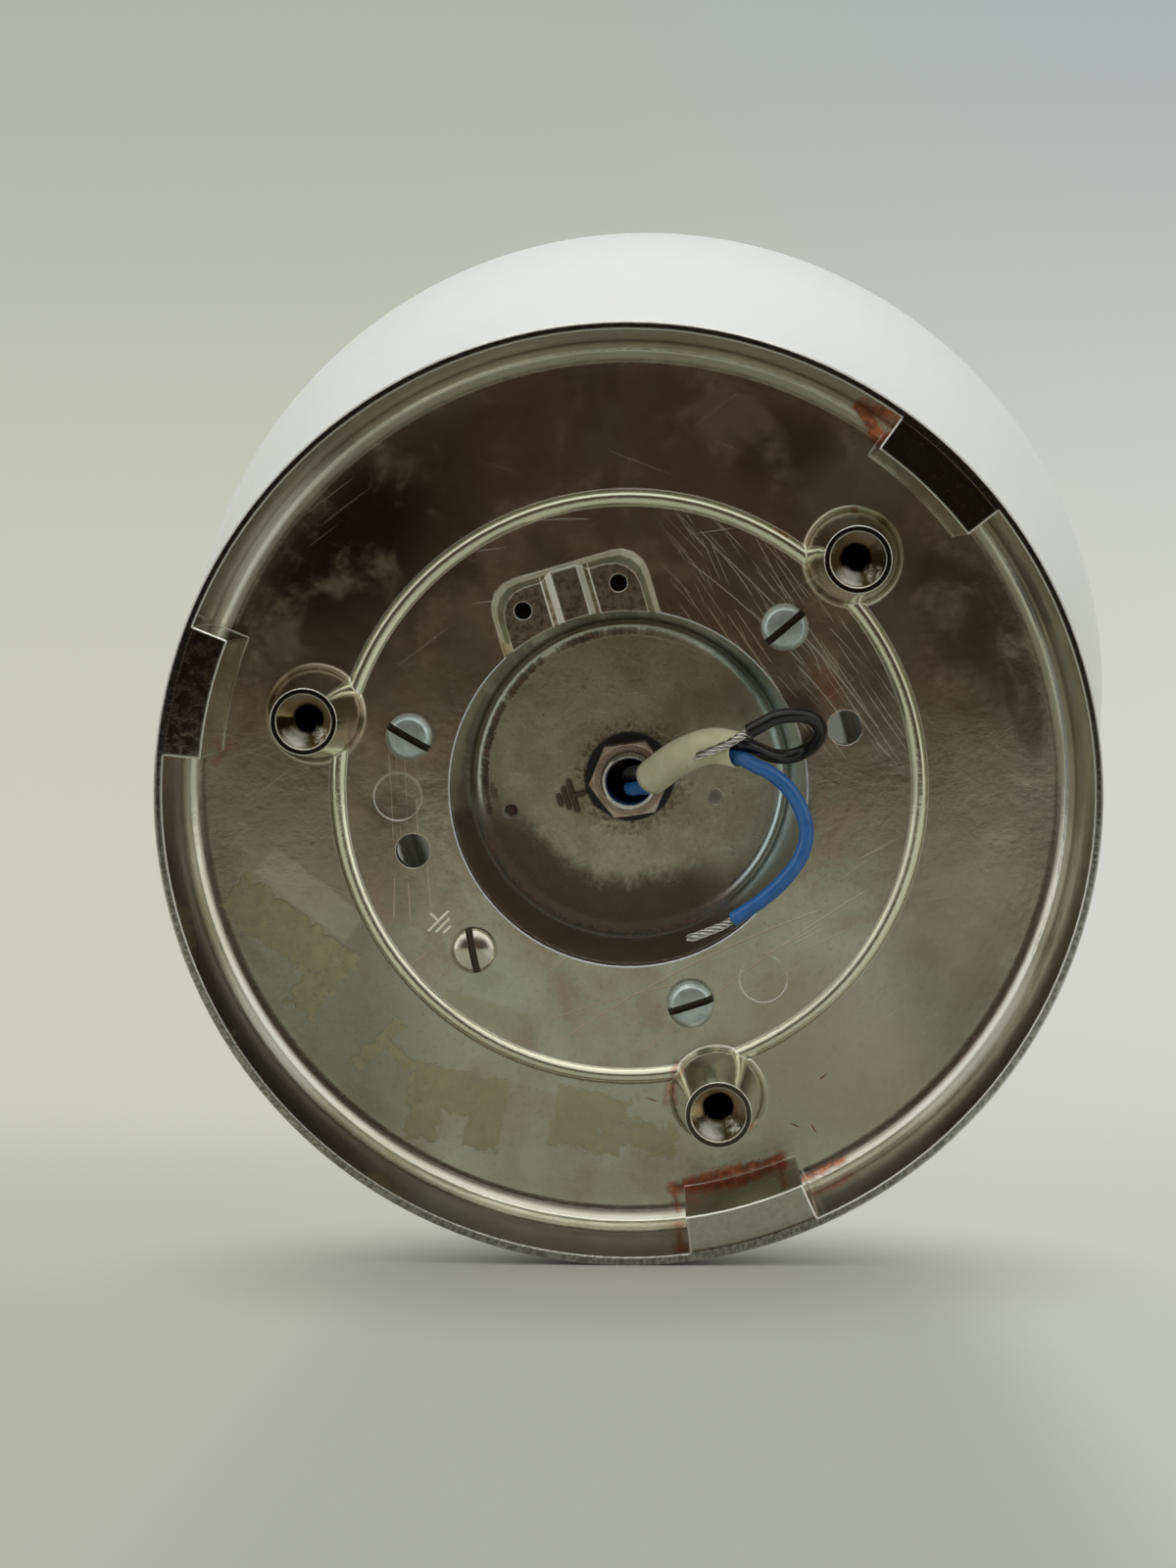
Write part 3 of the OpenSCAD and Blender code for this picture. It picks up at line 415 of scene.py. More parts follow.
# ---- node helpers
class Nodes:
    """Small builder for one node tree."""

    def __init__(self, tree):
        self.tree = tree
        tree.nodes.clear()

    def add(self, kind, *values, **props):
        """New node; the values go to its first inputs, and None leaves an input as it is."""
        n = self.tree.nodes.new("ShaderNode" + kind)
        for key, v in props.items():
            setattr(n, key, v)
        for socket, v in zip(n.inputs, values):
            self.put(socket, v)
        return n

    def put(self, socket, value):
        if isinstance(value, bpy.types.NodeSocket):
            self.tree.links.new(value, socket)
        elif isinstance(value, tuple) and socket.type == "RGBA":
            socket.default_value = (*value, 1)
        elif value is not None:
            socket.default_value = value

    def math(self, op, *values):
        return self.add("Math", *values, operation=op).outputs[0]

    def madd(self, a, b, c):
        """a * b + c"""
        return self.math("MULTIPLY_ADD", a, b, c)

    def size(self, a):
        return self.math("ABSOLUTE", a)

    def times(self, *factors):
        out = factors[0]
        for f in factors[1:]:
            out = self.math("MULTIPLY", out, f)
        return out

    def either(self, *masks):
        out = masks[0]
        for m in masks[1:]:
            out = self.math("MAXIMUM", out, m)
        return out

    def vec(self, op, a, b=None, scale=None):
        n = self.add("VectorMath", a, b, None, scale, operation=op)
        return n.outputs["Value" if op in ("LENGTH", "DOT_PRODUCT") else "Vector"]

    def split(self, v):
        return tuple(self.add("SeparateXYZ", v).outputs)

    def merge(self, *xyz):
        return self.add("CombineXYZ", *xyz).outputs[0]

    def far(self, u, v):
        return self.vec("LENGTH", self.merge(u, v, 0))

    def ramp(self, *values):
        """Smooth step: value, where it begins and ends, and from and to what it runs if not from 0 to 1."""
        return self.add("MapRange", *values, interpolation_type="SMOOTHSTEP").outputs[0]

    def window(self, value, low, high, soft):
        """1 between low and high, falling off softly outside."""
        return self.times(self.ramp(value, low - soft, low), self.ramp(value, high + soft, high))

    def mix(self, factor, a, b):
        """Between two colours."""
        return self.add("Mix", factor, *[None] * 5, a, b, data_type="RGBA").outputs[2]

    def mixf(self, factor, a, b):
        """Between two plain values."""
        return self.add("Mix", factor, None, a, b).outputs[0]

    def coats(self, under, *layers):
        """Colours laid over one another: (mask, colour) or (mask, strength, colour)."""
        for mask, *strength, tone in layers:
            under = self.mix(self.times(mask, *strength), under, tone)
        return under


class Look(Nodes):
    """A material. Positions are object coordinates in millimetres."""

    def __init__(self, name):
        self.mat = bpy.data.materials.new(name)
        self.mat.use_nodes = True
        super().__init__(self.mat.node_tree)
        self.bsdf = self.add("BsdfPrincipled")
        self.out = self.add("OutputMaterial", self.bsdf.outputs[0])
        self.mm = self.vec("SCALE", self.add("TexCoord").outputs["Object"], scale=1000)
        self.x, self.y, self.z = self.split(self.mm)
        self.r = self.vec("LENGTH", self.merge(self.x, 0, self.z))

    def set(self, **values):
        for k, v in values.items():
            self.put(self.bsdf.inputs[k.replace("_", " ")], v)

    def noise(self, scale, detail, rough=0.55, distort=0, at=None):
        n = self.add("TexNoise", at or self.mm, None, scale, detail, rough)
        self.put(n.inputs["Distortion"], distort)
        return n.outputs[0]

    def bump(self, height, distance, strength, normal=None):
        n = self.add("Bump", strength, distance)
        self.put(n.inputs["Height"], height)
        self.put(n.inputs["Normal"], normal)
        return n.outputs[0]

    def round_edges(self, mm):
        """Normal that is rounded off near edges, and a mask of those edges."""
        n = self.add("Bevel", mm if isinstance(mm, bpy.types.NodeSocket) else mm * MM, samples=6)
        flat = self.add("NewGeometry").outputs["Normal"]
        bend = self.math("SUBTRACT", 1, self.vec("DOT_PRODUCT", n.outputs[0], flat))
        return n.outputs[0], bend

    def crevice(self, mm, low, high):
        """Mask of the narrow corners that ambient occlusion finds, where painted shade is put."""
        return self.ramp(self.add("AmbientOcclusion", None, mm * MM, samples=6).outputs["AO"], high, low)

    def seen(self, cx, cz, degrees=0):
        """Coordinates across the dish, about a centre and turned."""
        c, s = math.cos(math.radians(degrees)), math.sin(math.radians(degrees))
        u = self.madd(self.x, c, self.madd(self.z, s, -cx * c - cz * s))
        v = self.madd(self.x, -s, self.madd(self.z, c, cx * s - cz * c))
        return u, v

    def marks(self, shape, *rows):
        """The strongest of several marks of one kind."""
        return self.either(*[shape(*row) for row in rows])

    def share(self, mask, strength):
        return mask if strength == 1 else self.times(mask, strength)

    def patch(self, place, half, degrees, ragged, soft, warp):
        """Rectangle with ragged edges."""
        u, v = self.seen(*place, degrees)
        du = self.math("SUBTRACT", self.size(u), half[0])
        dv = self.math("SUBTRACT", self.size(v), half[1])
        d = self.madd(warp, ragged * 2, self.math("MAXIMUM", du, dv))
        return self.ramp(d, ragged + soft, ragged - soft)

    def blob(self, place, half, degrees, ragged, soft, warp, strength=1):
        """Oval spot with ragged edges; soft is the width of its edge."""
        u, v = self.seen(*place, degrees)
        d = self.madd(warp, ragged * 2, self.far(u, self.times(v, half[0] / half[1])))
        return self.share(self.ramp(d, half[0] + ragged + soft, half[0] + ragged - soft), strength)

    def span(self, a, b):
        """Coordinates along and across the line from a to b, about its middle, and half its length."""
        turn = math.degrees(math.atan2(b[1] - a[1], b[0] - a[0]))
        return *self.seen((a[0] + b[0]) / 2, (a[1] + b[1]) / 2, turn), math.dist(a, b) / 2

    def stroke(self, a, b, reach, ragged, warp, strength=1):
        """Soft ragged band round the straight line from a to b."""
        u, v, half = self.span(a, b)
        past = self.math("MAXIMUM", self.math("SUBTRACT", self.size(u), half), 0)
        d = self.madd(warp, ragged * 2, self.far(past, v))
        return self.share(self.ramp(d, reach + ragged, ragged * 0.9), strength)

    def line(self, a, b, width, bow=0):
        """Fine scratch from a to b, bowed sideways."""
        u, v, half = self.span(a, b)
        if bow:
            v = self.madd(self.times(u, u), bow / half ** 2, self.math("SUBTRACT", v, bow))
        across = self.ramp(self.size(v), width, width * 0.3)
        return self.times(across, self.ramp(self.size(u), half, half - 1.5))

    def streaks(self, degrees, across, along, low, high, seed=0):
        """Many fine parallel scratches of uneven length."""
        u, v = self.seen(0, 0, degrees)
        at = self.merge(self.times(u, along), self.times(v, across), seed)
        return self.ramp(self.noise(1, 1, 0.5, 0.15, at), low, high)


def dress(look, *pieces):
    """Gives a look to objects, or to CAD nodes by name."""
    for piece in pieces:
        obj = piece if isinstance(piece, bpy.types.Object) else nodes[piece]
        if not obj.material_slots:
            obj.data.materials.append(look.mat)
        for slot in obj.material_slots:
            slot.material = look.mat


# ---- tarnished nickel of the base casting
CLEAN = (0.64, 0.62, 0.53)
GREY_GREEN = (0.56, 0.575, 0.465)
BROWN = (0.44, 0.345, 0.26)
DARK = (0.17, 0.135, 0.095)
# colour of stains, also used for painted shade
STAIN_AND_SHADE = (0.13, 0.11, 0.075)
BLACKENED = (0.05, 0.045, 0.03)
COPPER = (0.55, 0.165, 0.075)
RUST = (0.23, 0.075, 0.04)
TAPE = (0.47, 0.44, 0.25)
# colour of soot, also used for painted shade
SOOT_AND_SHADE = (0.03, 0.024, 0.018)
BRIGHT = (0.84, 0.83, 0.75)
PAD_TURN = 106.2  # direction of the clamp pad from the lamp axis
BOSS_CIRCLE, BOSS_ANGLES = 56, (73.8, 193.8, 313.8)
SINK_R, PILOT_R = 4.8, 1.6


def base_metal():
    k = Look("nickel_casting")
    cloud = k.noise(0.03, 4, 0.6, 0.4)
    mottle = k.noise(0.1, 6, 0.6, 0.25)
    speck = k.noise(0.9, 5, 0.65)
    grain = k.noise(5, 3, 0.6)
    ragged = k.noise(0.45, 5, 0.65)

    # faces told apart by their distance from the rim plane (y) and from the lamp axis (r)
    hollow_side = k.ramp(k.y, 19.2, 18.6)
    on_plate = k.times(k.ramp(k.y, 16.9, 17.9), hollow_side)
    low_metal = k.ramp(k.y, 0.35, 0.15)
    lugs = k.times(k.ramp(k.r, 66.5, 67.5), k.ramp(k.y, 16.5, 15))
    mark = k.times(k.blob((-33.5, -23), (4.6, 4.6), 0, 0.3, 0.3, cloud), k.ramp(k.y, 16.9, 17.3))
    smooth_normal, bend = k.round_edges(k.mixf(mark, k.mixf(lugs, 0.00045, 0.0008), 0.00006))
    outside = k.either(k.ramp(k.y, 19.5, 20.2), k.ramp(k.r, 79.4, 79.9))
    inner = k.times(on_plate, k.ramp(k.r, 49.6, 48.6))

    # plate: clouds of brown over grey nickel, browner towards the top
    upward = k.ramp(k.z, -50, 50)
    stain = k.madd(mottle, 0.6, k.madd(cloud, 0.75, -0.18))
    brownish = k.ramp(k.madd(upward, 0.36, stain), 0.42, 0.86)
    darkish = k.marks(
        k.blob, ((-50, 42), (25, 16), 40, 8, 18, cloud), ((29, 58), (10, 6), -20, 6, 6, mottle, 0.55),
        ((60, 29), (15, 8), -60, 8, 7, mottle, 0.6), ((68, 18), (13, 3), -78, 4, 3, ragged, 0.8),
        ((-42, -4), (5, 3), 0, 5, 2.5, ragged, 0.7), ((-50, -52), (12, 24), -45, 16, 4, mottle, 0.25),
        ((54, -24), (12, 34), 25, 16, 8, cloud, 0.35))
    # painted shade: the plate is darker at the lower left and at the lower right
    sides = k.either(k.times(k.ramp(k.x, -30, -48), k.ramp(k.z, 6, -12), 0.5),
                     k.times(k.ramp(k.x, 40, 54), k.ramp(k.z, 2, -12), 0.42))
    drips = k.noise(0.13, 5, 0.6, at=k.vec("ADD", k.mm, (7, 3, 50)))
    calm = k.ramp(upward, 0.45, 0.75, 1, 0.75)
    warm = k.marks(
        k.blob, ((36, -48), (22, 14), -40, 9, 12, cloud), ((60, -8), (14, 22), 0, 8, 10, mottle),
        ((-58, -8), (12, 16), 0, 8, 10, mottle))
    plate = k.coats(
        k.mix(brownish, GREY_GREEN, BROWN),
        (darkish, 0.85, STAIN_AND_SHADE),
        (sides, STAIN_AND_SHADE),
        (k.blob((-49, 43), (14, 8), 40, 8, 8, cloud), 0.75, BLACKENED),
        (k.blob((40, 54), (10, 6), 40, 6, 6, mottle), 0.8, GREY_GREEN),
        (k.times(upward, k.ramp(mottle, 0.5, 0.68)), 0.8, (0.62, 0.54, 0.42)),
        (k.times(upward, k.ramp(drips, 0.48, 0.76)), 0.4, DARK),
        (k.times(inner, k.ramp(mottle, 0.48, 0.72)), 0.5, (0.47, 0.32, 0.24)),
        (k.times(calm, k.ramp(speck, 0.52, 0.8, 0, 0.38)), DARK),
        (k.times(calm, k.ramp(speck, 0.44, 0.15, 0, 0.34)), (0.66, 0.65, 0.56)),
        (warm, 0.6, (0.43, 0.37, 0.285)))

    # wall, fillets and front are cleaner
    colour = k.mix(on_plate, k.mix(k.ramp(mottle, 0.4, 0.7), CLEAN, (0.56, 0.52, 0.42)), plate)
    colour = k.mix(outside, colour, (0.68, 0.66, 0.6))

    # painted shade along the foot of the fillet, a painted highlight along the fillet, and the lower wall
    # painted dark as painted shade, darkest at the lower left
    lower_left = k.madd(k.x, -0.45, k.times(k.z, -1))
    foot = k.times(k.window(k.madd(cloud, 1, k.r), 74.8, 75.9, 0.5), k.ramp(k.y, 16.4, 16.9), hollow_side)
    colour = k.mix(k.times(foot, 0.5), colour, (0.12, 0.09, 0.06))
    fillet_highlight = k.times(k.window(k.r, 75.6, 77.4, 0.4), k.window(k.y, 14.2, 16.7, 0.5), k.either(k.marks(
        k.blob, ((-62.7, -43.9), (14, 14), 0, 4, 10, cloud), ((62, -45), (22, 16), 0, 4, 10, cloud),
        ((-62, 44), (14, 14), 0, 4, 10, cloud)), 0.15))
    wall = k.times(k.ramp(k.y, 14.6, 13), k.ramp(k.r, 76.9, 77.4), k.ramp(k.r, 79.3, 78.9))
    painted_wall_shade = k.times(k.ramp(lower_left, -30, 60, 0.3, 0.95), k.ramp(k.madd(k.y, 4, k.x), 60, 100, 1, 0.35))
    colour = k.coats(colour, (k.times(wall, painted_wall_shade), (0.085, 0.065, 0.042)), (fillet_highlight, BRIGHT))

    # the clamp pad is browner than the plate; its slopes are painted lighter and its edges and trough carry
    # painted highlights
    pad = k.times(k.window(k.x, -24, 6, 0.5), k.window(k.z, 26, 46, 0.5), k.ramp(k.r, 47.5, 47),
                  k.ramp(k.y, 17.95, 17.8))
    along, across = k.seen(0, 0, PAD_TURN)
    across = k.size(across)
    pad_slope = k.times(pad, k.ramp(k.y, 15.65, 15.8),
                        k.either(k.ramp(across, 4.5, 4.8), k.ramp(along, 39.7, 39.9)))
    pad_highlight = k.either(
        k.times(pad_slope, k.ramp(k.madd(speck, 0.5, k.y), 16.9, 17.3)),
        k.times(pad, k.window(across, 2.3, 3.3, 0.25), k.ramp(k.y, 15.7, 15.9),
                k.ramp(speck, 0.2, 0.5, 0.5, 1)),
        k.times(pad, k.window(across, 4.2, 4.4, 0.12)))
    colour = k.coats(
        colour, (pad, k.mix(k.ramp(speck, 0.4, 0.65), (0.4, 0.325, 0.24), (0.2, 0.155, 0.11))),
        (pad_slope, (0.36, 0.365, 0.29)), (pad_highlight, BRIGHT))

    # top of the rib and the earth sign are rubbed bright and yellowish, and painted brighter still as a
    # painted highlight
    rib = k.times(k.window(k.r, 49.3, 52.3, 0.15), k.ramp(k.y, 17.98, 17.7))
    sign = k.times(mark, k.ramp(k.y, 17.93, 17.85))
    rib = k.either(rib, sign)
    colour = k.mix(rib, colour, k.mix(sign, (0.8, 0.79, 0.62), (0.95, 0.93, 0.72)))

    # copper where the nickel has gone, and rust specks
    copper = k.either(k.marks(
        k.stroke, ((39.8, 66.2), (44, 59.5), 2.2, 1.6, ragged),
        ((8, -70.8), (26.5, -65.4), 2.4, 2, ragged, 0.7),
        ((26.5, -65.4), (29.5, -73.5), 1.8, 1.8, ragged, 0.6),
        ((30.5, -69), (37.5, -65.5), 1.9, 1.8, ragged, 0.5), ((8.6, -75), (8, -71.5), 1.4, 1.6, ragged, 0.5),
        ((8.4, -48.2), (6.6, -55.5), 1.8, 1.8, ragged, 0.4),
        ((-69.5, 8), (-72, 5), 1.6, 1.2, ragged, 0.35)),
        k.blob((34.5, 18), (6, 2.5), -60, 5, 4.5, mottle, 0.4))
    copper = k.times(copper, k.ramp(k.y, 0.6, 2.5), hollow_side, k.ramp(k.r, 79.3, 78.8),
                     k.ramp(ragged, 0.28, 0.5, 0.35, 1))
    copper = k.ramp(copper, 0.05, 0.65)
    colour = k.mix(k.times(copper, 0.95), colour, k.mix(k.ramp(ragged, 0.38, 0.62), COPPER, RUST))
    flecks = k.marks(lambda at, turn: k.blob(at, (0.9, 0.12), turn, 0.35, 0.3, ragged), ((34.2, -50.8), 40),
                     ((29.4, -59.5), -25), ((32.6, -60), -60), ((4.2, -55), -20))
    colour = k.mix(k.times(on_plate, flecks), colour, RUST)

    # old tape: tan film with torn edges, and a paler ghost of it
    tape = k.marks(
        k.patch, ((-59, -26), (11.5, 4), -37, 2.4, 0.3, ragged),
        ((-66.5, -20), (3.6, 3.4), -40, 3.6, 0.3, ragged), ((-55.5, -35), (2.6, 5), -32, 2.7, 0.3, ragged),
        ((-30, -53.8), (8.6, 3.8), -12, 2.4, 0.25, ragged),
        ((-25.5, -58.5), (3.2, 5.4), -12, 2.4, 0.25, ragged), ((-36, -58), (2.6, 4), -20, 3, 0.25, ragged),
        ((-44.3, -45.3), (1.2, 5.6), -46, 2.1, 0.25, ragged), ((-41, -46.5), (1, 3.6), 42, 1.8, 0.25, ragged),
        ((-7, -59), (6.2, 5.2), -12, 2.7, 0.25, ragged), ((3, -61.5), (5.2, 2.6), -14, 3.9, 0.3, ragged))
    faint = k.patch((-24, -40), (8.8, 2), -16, 1.6, 0.8, ragged)
    torn = k.times(k.ramp(speck, 0.58, 0.66, 1, 0.4), k.ramp(ragged, 0.6, 0.66, 1, 0.3))
    film = k.times(k.either(k.times(tape, torn), k.times(faint, 0.6)), on_plate)
    ghost = k.times(k.patch((-56, -18.5), (10, 3), -38, 0.5, 0.6, ragged), on_plate)
    colour = k.mix(k.times(film, 0.75), colour, k.mix(k.ramp(ragged, 0.3, 0.65), TAPE, (0.4, 0.365, 0.205)))
    colour = k.mix(k.times(ghost, 0.35), colour, (0.6, 0.58, 0.49))

    # scratches: fans of fine lines in the ring between well and rib, some long ones
    upper_fan = k.times(k.ramp(k.z, 3, 10), k.ramp(k.x, 3, 12))
    fans = k.either(k.times(k.streaks(-56, 2.4, 0.045, 0.64, 0.69), upper_fan),
                    k.times(k.streaks(-47, 3, 0.06, 0.67, 0.72, 7), upper_fan),
                    k.times(k.streaks(-66, 2.2, 0.05, 0.68, 0.73, 3), upper_fan, k.ramp(k.x, 26, 18)),
                    k.times(k.streaks(-88, 3, 0.04, 0.6, 0.66, 11), k.window(k.x, -41.5, -36.5, 0.8),
                            k.window(k.z, -8, 7, 2), 0.8),
                    k.times(k.streaks(28, 1.4, 0.04, 0.7, 0.74, 5), k.ramp(k.z, -2, -12),
                            k.ramp(k.x, 6, 16)),
                    k.times(k.streaks(8, 0.9, 0.03, 0.72, 0.75, 9), k.ramp(k.z, 26, 34)))
    lines = k.marks(
        k.line, ((14, 43), (44, 10), 0.2, 1.2), ((21.5, 45), (37, 20), 0.15, -0.6),
        ((10, 40), (31, 21), 0.16, 0.8), ((27, 28), (33.5, 19.5), 0.15, 1.6),
        ((12, 45.5), (22, 33), 0.18, 0.5), ((29, 22), (40, 8), 0.2, 0.6),
        ((-12.5, -44.8), (34, -21), 0.16, 1.6), ((-14.5, -41), (14, -33.5), 0.13, 0.8),
        ((2, -47), (42, -17.5), 0.13, 1), ((-23, 46), (-6, 47), 0.12, 0.4), ((-41, -15), (-41.2, -23.5), 0.15),
        ((-35.3, -13), (-34.6, -21.5), 0.15), ((-38.6, -16), (-38.3, -24), 0.13),
        ((-37, -1), (-36.8, -12), 0.14))
    scratch = k.times(k.either(k.times(fans, 0.8), lines), inner)
    hair = k.times(k.marks(k.streaks, (37, 1.3, 0.03, 0.74, 0.77, 21), (-21, 1.5, 0.035, 0.75, 0.78, 25)),
                   on_plate, 0.4)
    worn = k.either(scratch, hair)
    colour = k.mix(k.times(worn, 0.9), colour, k.mix(k.ramp(cloud, 0.4, 0.6), BRIGHT, (0.78, 0.6, 0.47)))

    # ground rim and lug tops: bare file-marked metal, painted darker towards the top as painted shade
    spin = k.math("ARCTAN2", k.z, k.x)
    filed = k.noise(1, 3, 0.6, at=k.merge(k.madd(k.r, 0.35, k.times(spin, 110)), k.times(k.r, 0.9), 0))
    rim = k.times(low_metal, k.ramp(k.r, 78.2, 78.5))
    lug_top = k.times(low_metal, k.ramp(k.r, 78.5, 78.2), k.ramp(k.r, 66, 67))
    crust = k.times(k.ramp(ragged, 0.42, 0.6), k.ramp(k.x, -50, -60), k.ramp(k.z, 10, -2, 0.35, 1))
    rim_lit = k.mix(k.ramp(filed, 0.4, 0.6), (0.36, 0.36, 0.31), (0.18, 0.18, 0.15))
    rim_shaded = k.mix(k.ramp(filed, 0.4, 0.6), (0.17, 0.17, 0.15), (0.08, 0.08, 0.07))
    lug_lit = k.mix(k.ramp(speck, 0.35, 0.65), (0.5, 0.49, 0.41), (0.42, 0.41, 0.34))
    lug_shaded = k.mix(k.ramp(speck, 0.55, 0.72), (0.05, 0.05, 0.042), (0.24, 0.23, 0.18))
    lug_metal = k.mix(k.ramp(k.z, -40, 28), lug_lit, lug_shaded)
    seam = k.times(k.window(k.r, 78.05, 78.4, 0.12), low_metal)
    colour = k.coats(colour, (rim, k.mix(k.ramp(k.z, -25, 20), rim_lit, rim_shaded)),
                     (lug_top, 0.9, k.mix(crust, lug_metal, (0.42, 0.38, 0.28))), (seam, 0.7, DARK))

    # bosses: flat tops painted dark and holes painted black as painted shade; countersinks painted dark brown
    # above and lighter brown below as painted shade, with painted glints below
    glints = []
    for degrees in BOSS_ANGLES:
        a = math.radians(degrees)
        u, v = k.seen(BOSS_CIRCLE * math.cos(a), -BOSS_CIRCLE * math.sin(a))
        d = k.far(u, v)
        sink = k.times(k.ramp(d, SINK_R + 0.05, SINK_R - 0.1), k.ramp(k.y, 16, 14))
        below = k.math("DIVIDE", k.madd(u, -0.42, k.times(v, -0.91)), d)
        below = k.math("ADD", below, k.madd(ragged, 0.5, -0.25))
        aside = k.math("DIVIDE", k.madd(u, 0.75, k.times(v, -0.66)), d)
        painted_glint = k.either(k.ramp(below, 0.66, 1.08), k.times(k.ramp(aside, 0.88, 1), k.ramp(speck, 0.35, 0.65)))
        painted_glint = k.times(painted_glint, k.window(d, 2.6, 4.1, 0.9))
        painted_cone_shading = k.mix(k.ramp(below, -0.3, 0.55), (0.13, 0.1, 0.065), (0.5, 0.42, 0.27))
        boss_top_shade = k.times(k.window(d, SINK_R + 0.05, SINK_R + 0.7, 0.12), k.ramp(k.y, 0.5, 0.3))
        pilot_shade = k.times(k.ramp(d, PILOT_R + 0.02, PILOT_R - 0.06), k.ramp(k.y, 4, 4.4), k.ramp(k.y, 18, 17.5))
        colour = k.coats(colour, (sink, k.mix(painted_glint, painted_cone_shading, (0.97, 0.96, 0.9))),
                         (boss_top_shade, (0.07, 0.058, 0.042)), (pilot_shade, (0.004, 0.004, 0.004)))
        glints.append(k.times(painted_glint, sink))

    # rubbed edges with a painted highlight on them, patchy dirt and painted shade in the corners, and a
    # painted highlight along the lip of the well
    edge = k.ramp(bend, 0.02, 0.12)
    edge = k.times(edge, k.mixf(k.times(rim, k.ramp(lower_left, 50, 75)), 1, 0.25))
    dirt_and_shade = k.times(k.crevice(0.7, 0.25, 0.62), k.ramp(mottle, 0.3, 0.6, 0.2, 0.85))
    well_lip_highlight = k.times(k.window(k.r, 31, 31.45, 0.08), k.ramp(k.y, 17.6, 17.9), k.ramp(k.y, 18.7, 18.4))
    colour = k.coats(colour, (edge, k.mixf(lugs, 0.7, 1), BRIGHT), (dirt_and_shade, 0.85, SOOT_AND_SHADE),
                     (well_lip_highlight, (0.88, 0.92, 0.95)))

    rough = k.mixf(on_plate, k.ramp(mottle, 0.3, 0.7, 0.06, 0.11), k.ramp(mottle, 0.3, 0.7, 0.19, 0.27))
    for mask, value in (
            (pad, 0.34), (k.either(rib, well_lip_highlight), k.mixf(sign, 0.12, 0.4)), (edge, 0.25), (pad_highlight, 0.42),
            (outside, 0.14), (lug_top, k.ramp(crust, 0, 1, 0.08, 0.38)), (rim, 0.18),
            (k.times(film, 0.9), 0.42), (worn, 0.3), (k.times(copper, 0.8), 0.36)):
        rough = k.mixf(mask, rough, value)
    metal = k.mixf(k.times(film, 0.6), 1, 0.6)
    metal = k.mixf(k.times(dirt_and_shade, 0.7), metal, 0.3)
    metal = k.mixf(k.either(sign, k.either(*glints), k.times(fillet_highlight, 0.8)), metal, 0.35)

    lively = k.mixf(on_plate, 0.12, k.mixf(calm, 0.05, 0.2))
    height = k.madd(mottle, k.mixf(lug_top, 1.2, 0.5), k.times(speck, lively))
    for relief, amount in ((grain, 0.05), (worn, -0.12), (film, 0.25), (k.times(rim, filed), 0.3),
                           (k.times(lug_top, ragged, crust), 0.5)):
        height = k.madd(relief, amount, height)
    k.set(Base_Color=colour, Metallic=metal, Roughness=rough,
          Normal=k.bump(height, 0.00012, 0.8, smooth_normal))
    return k


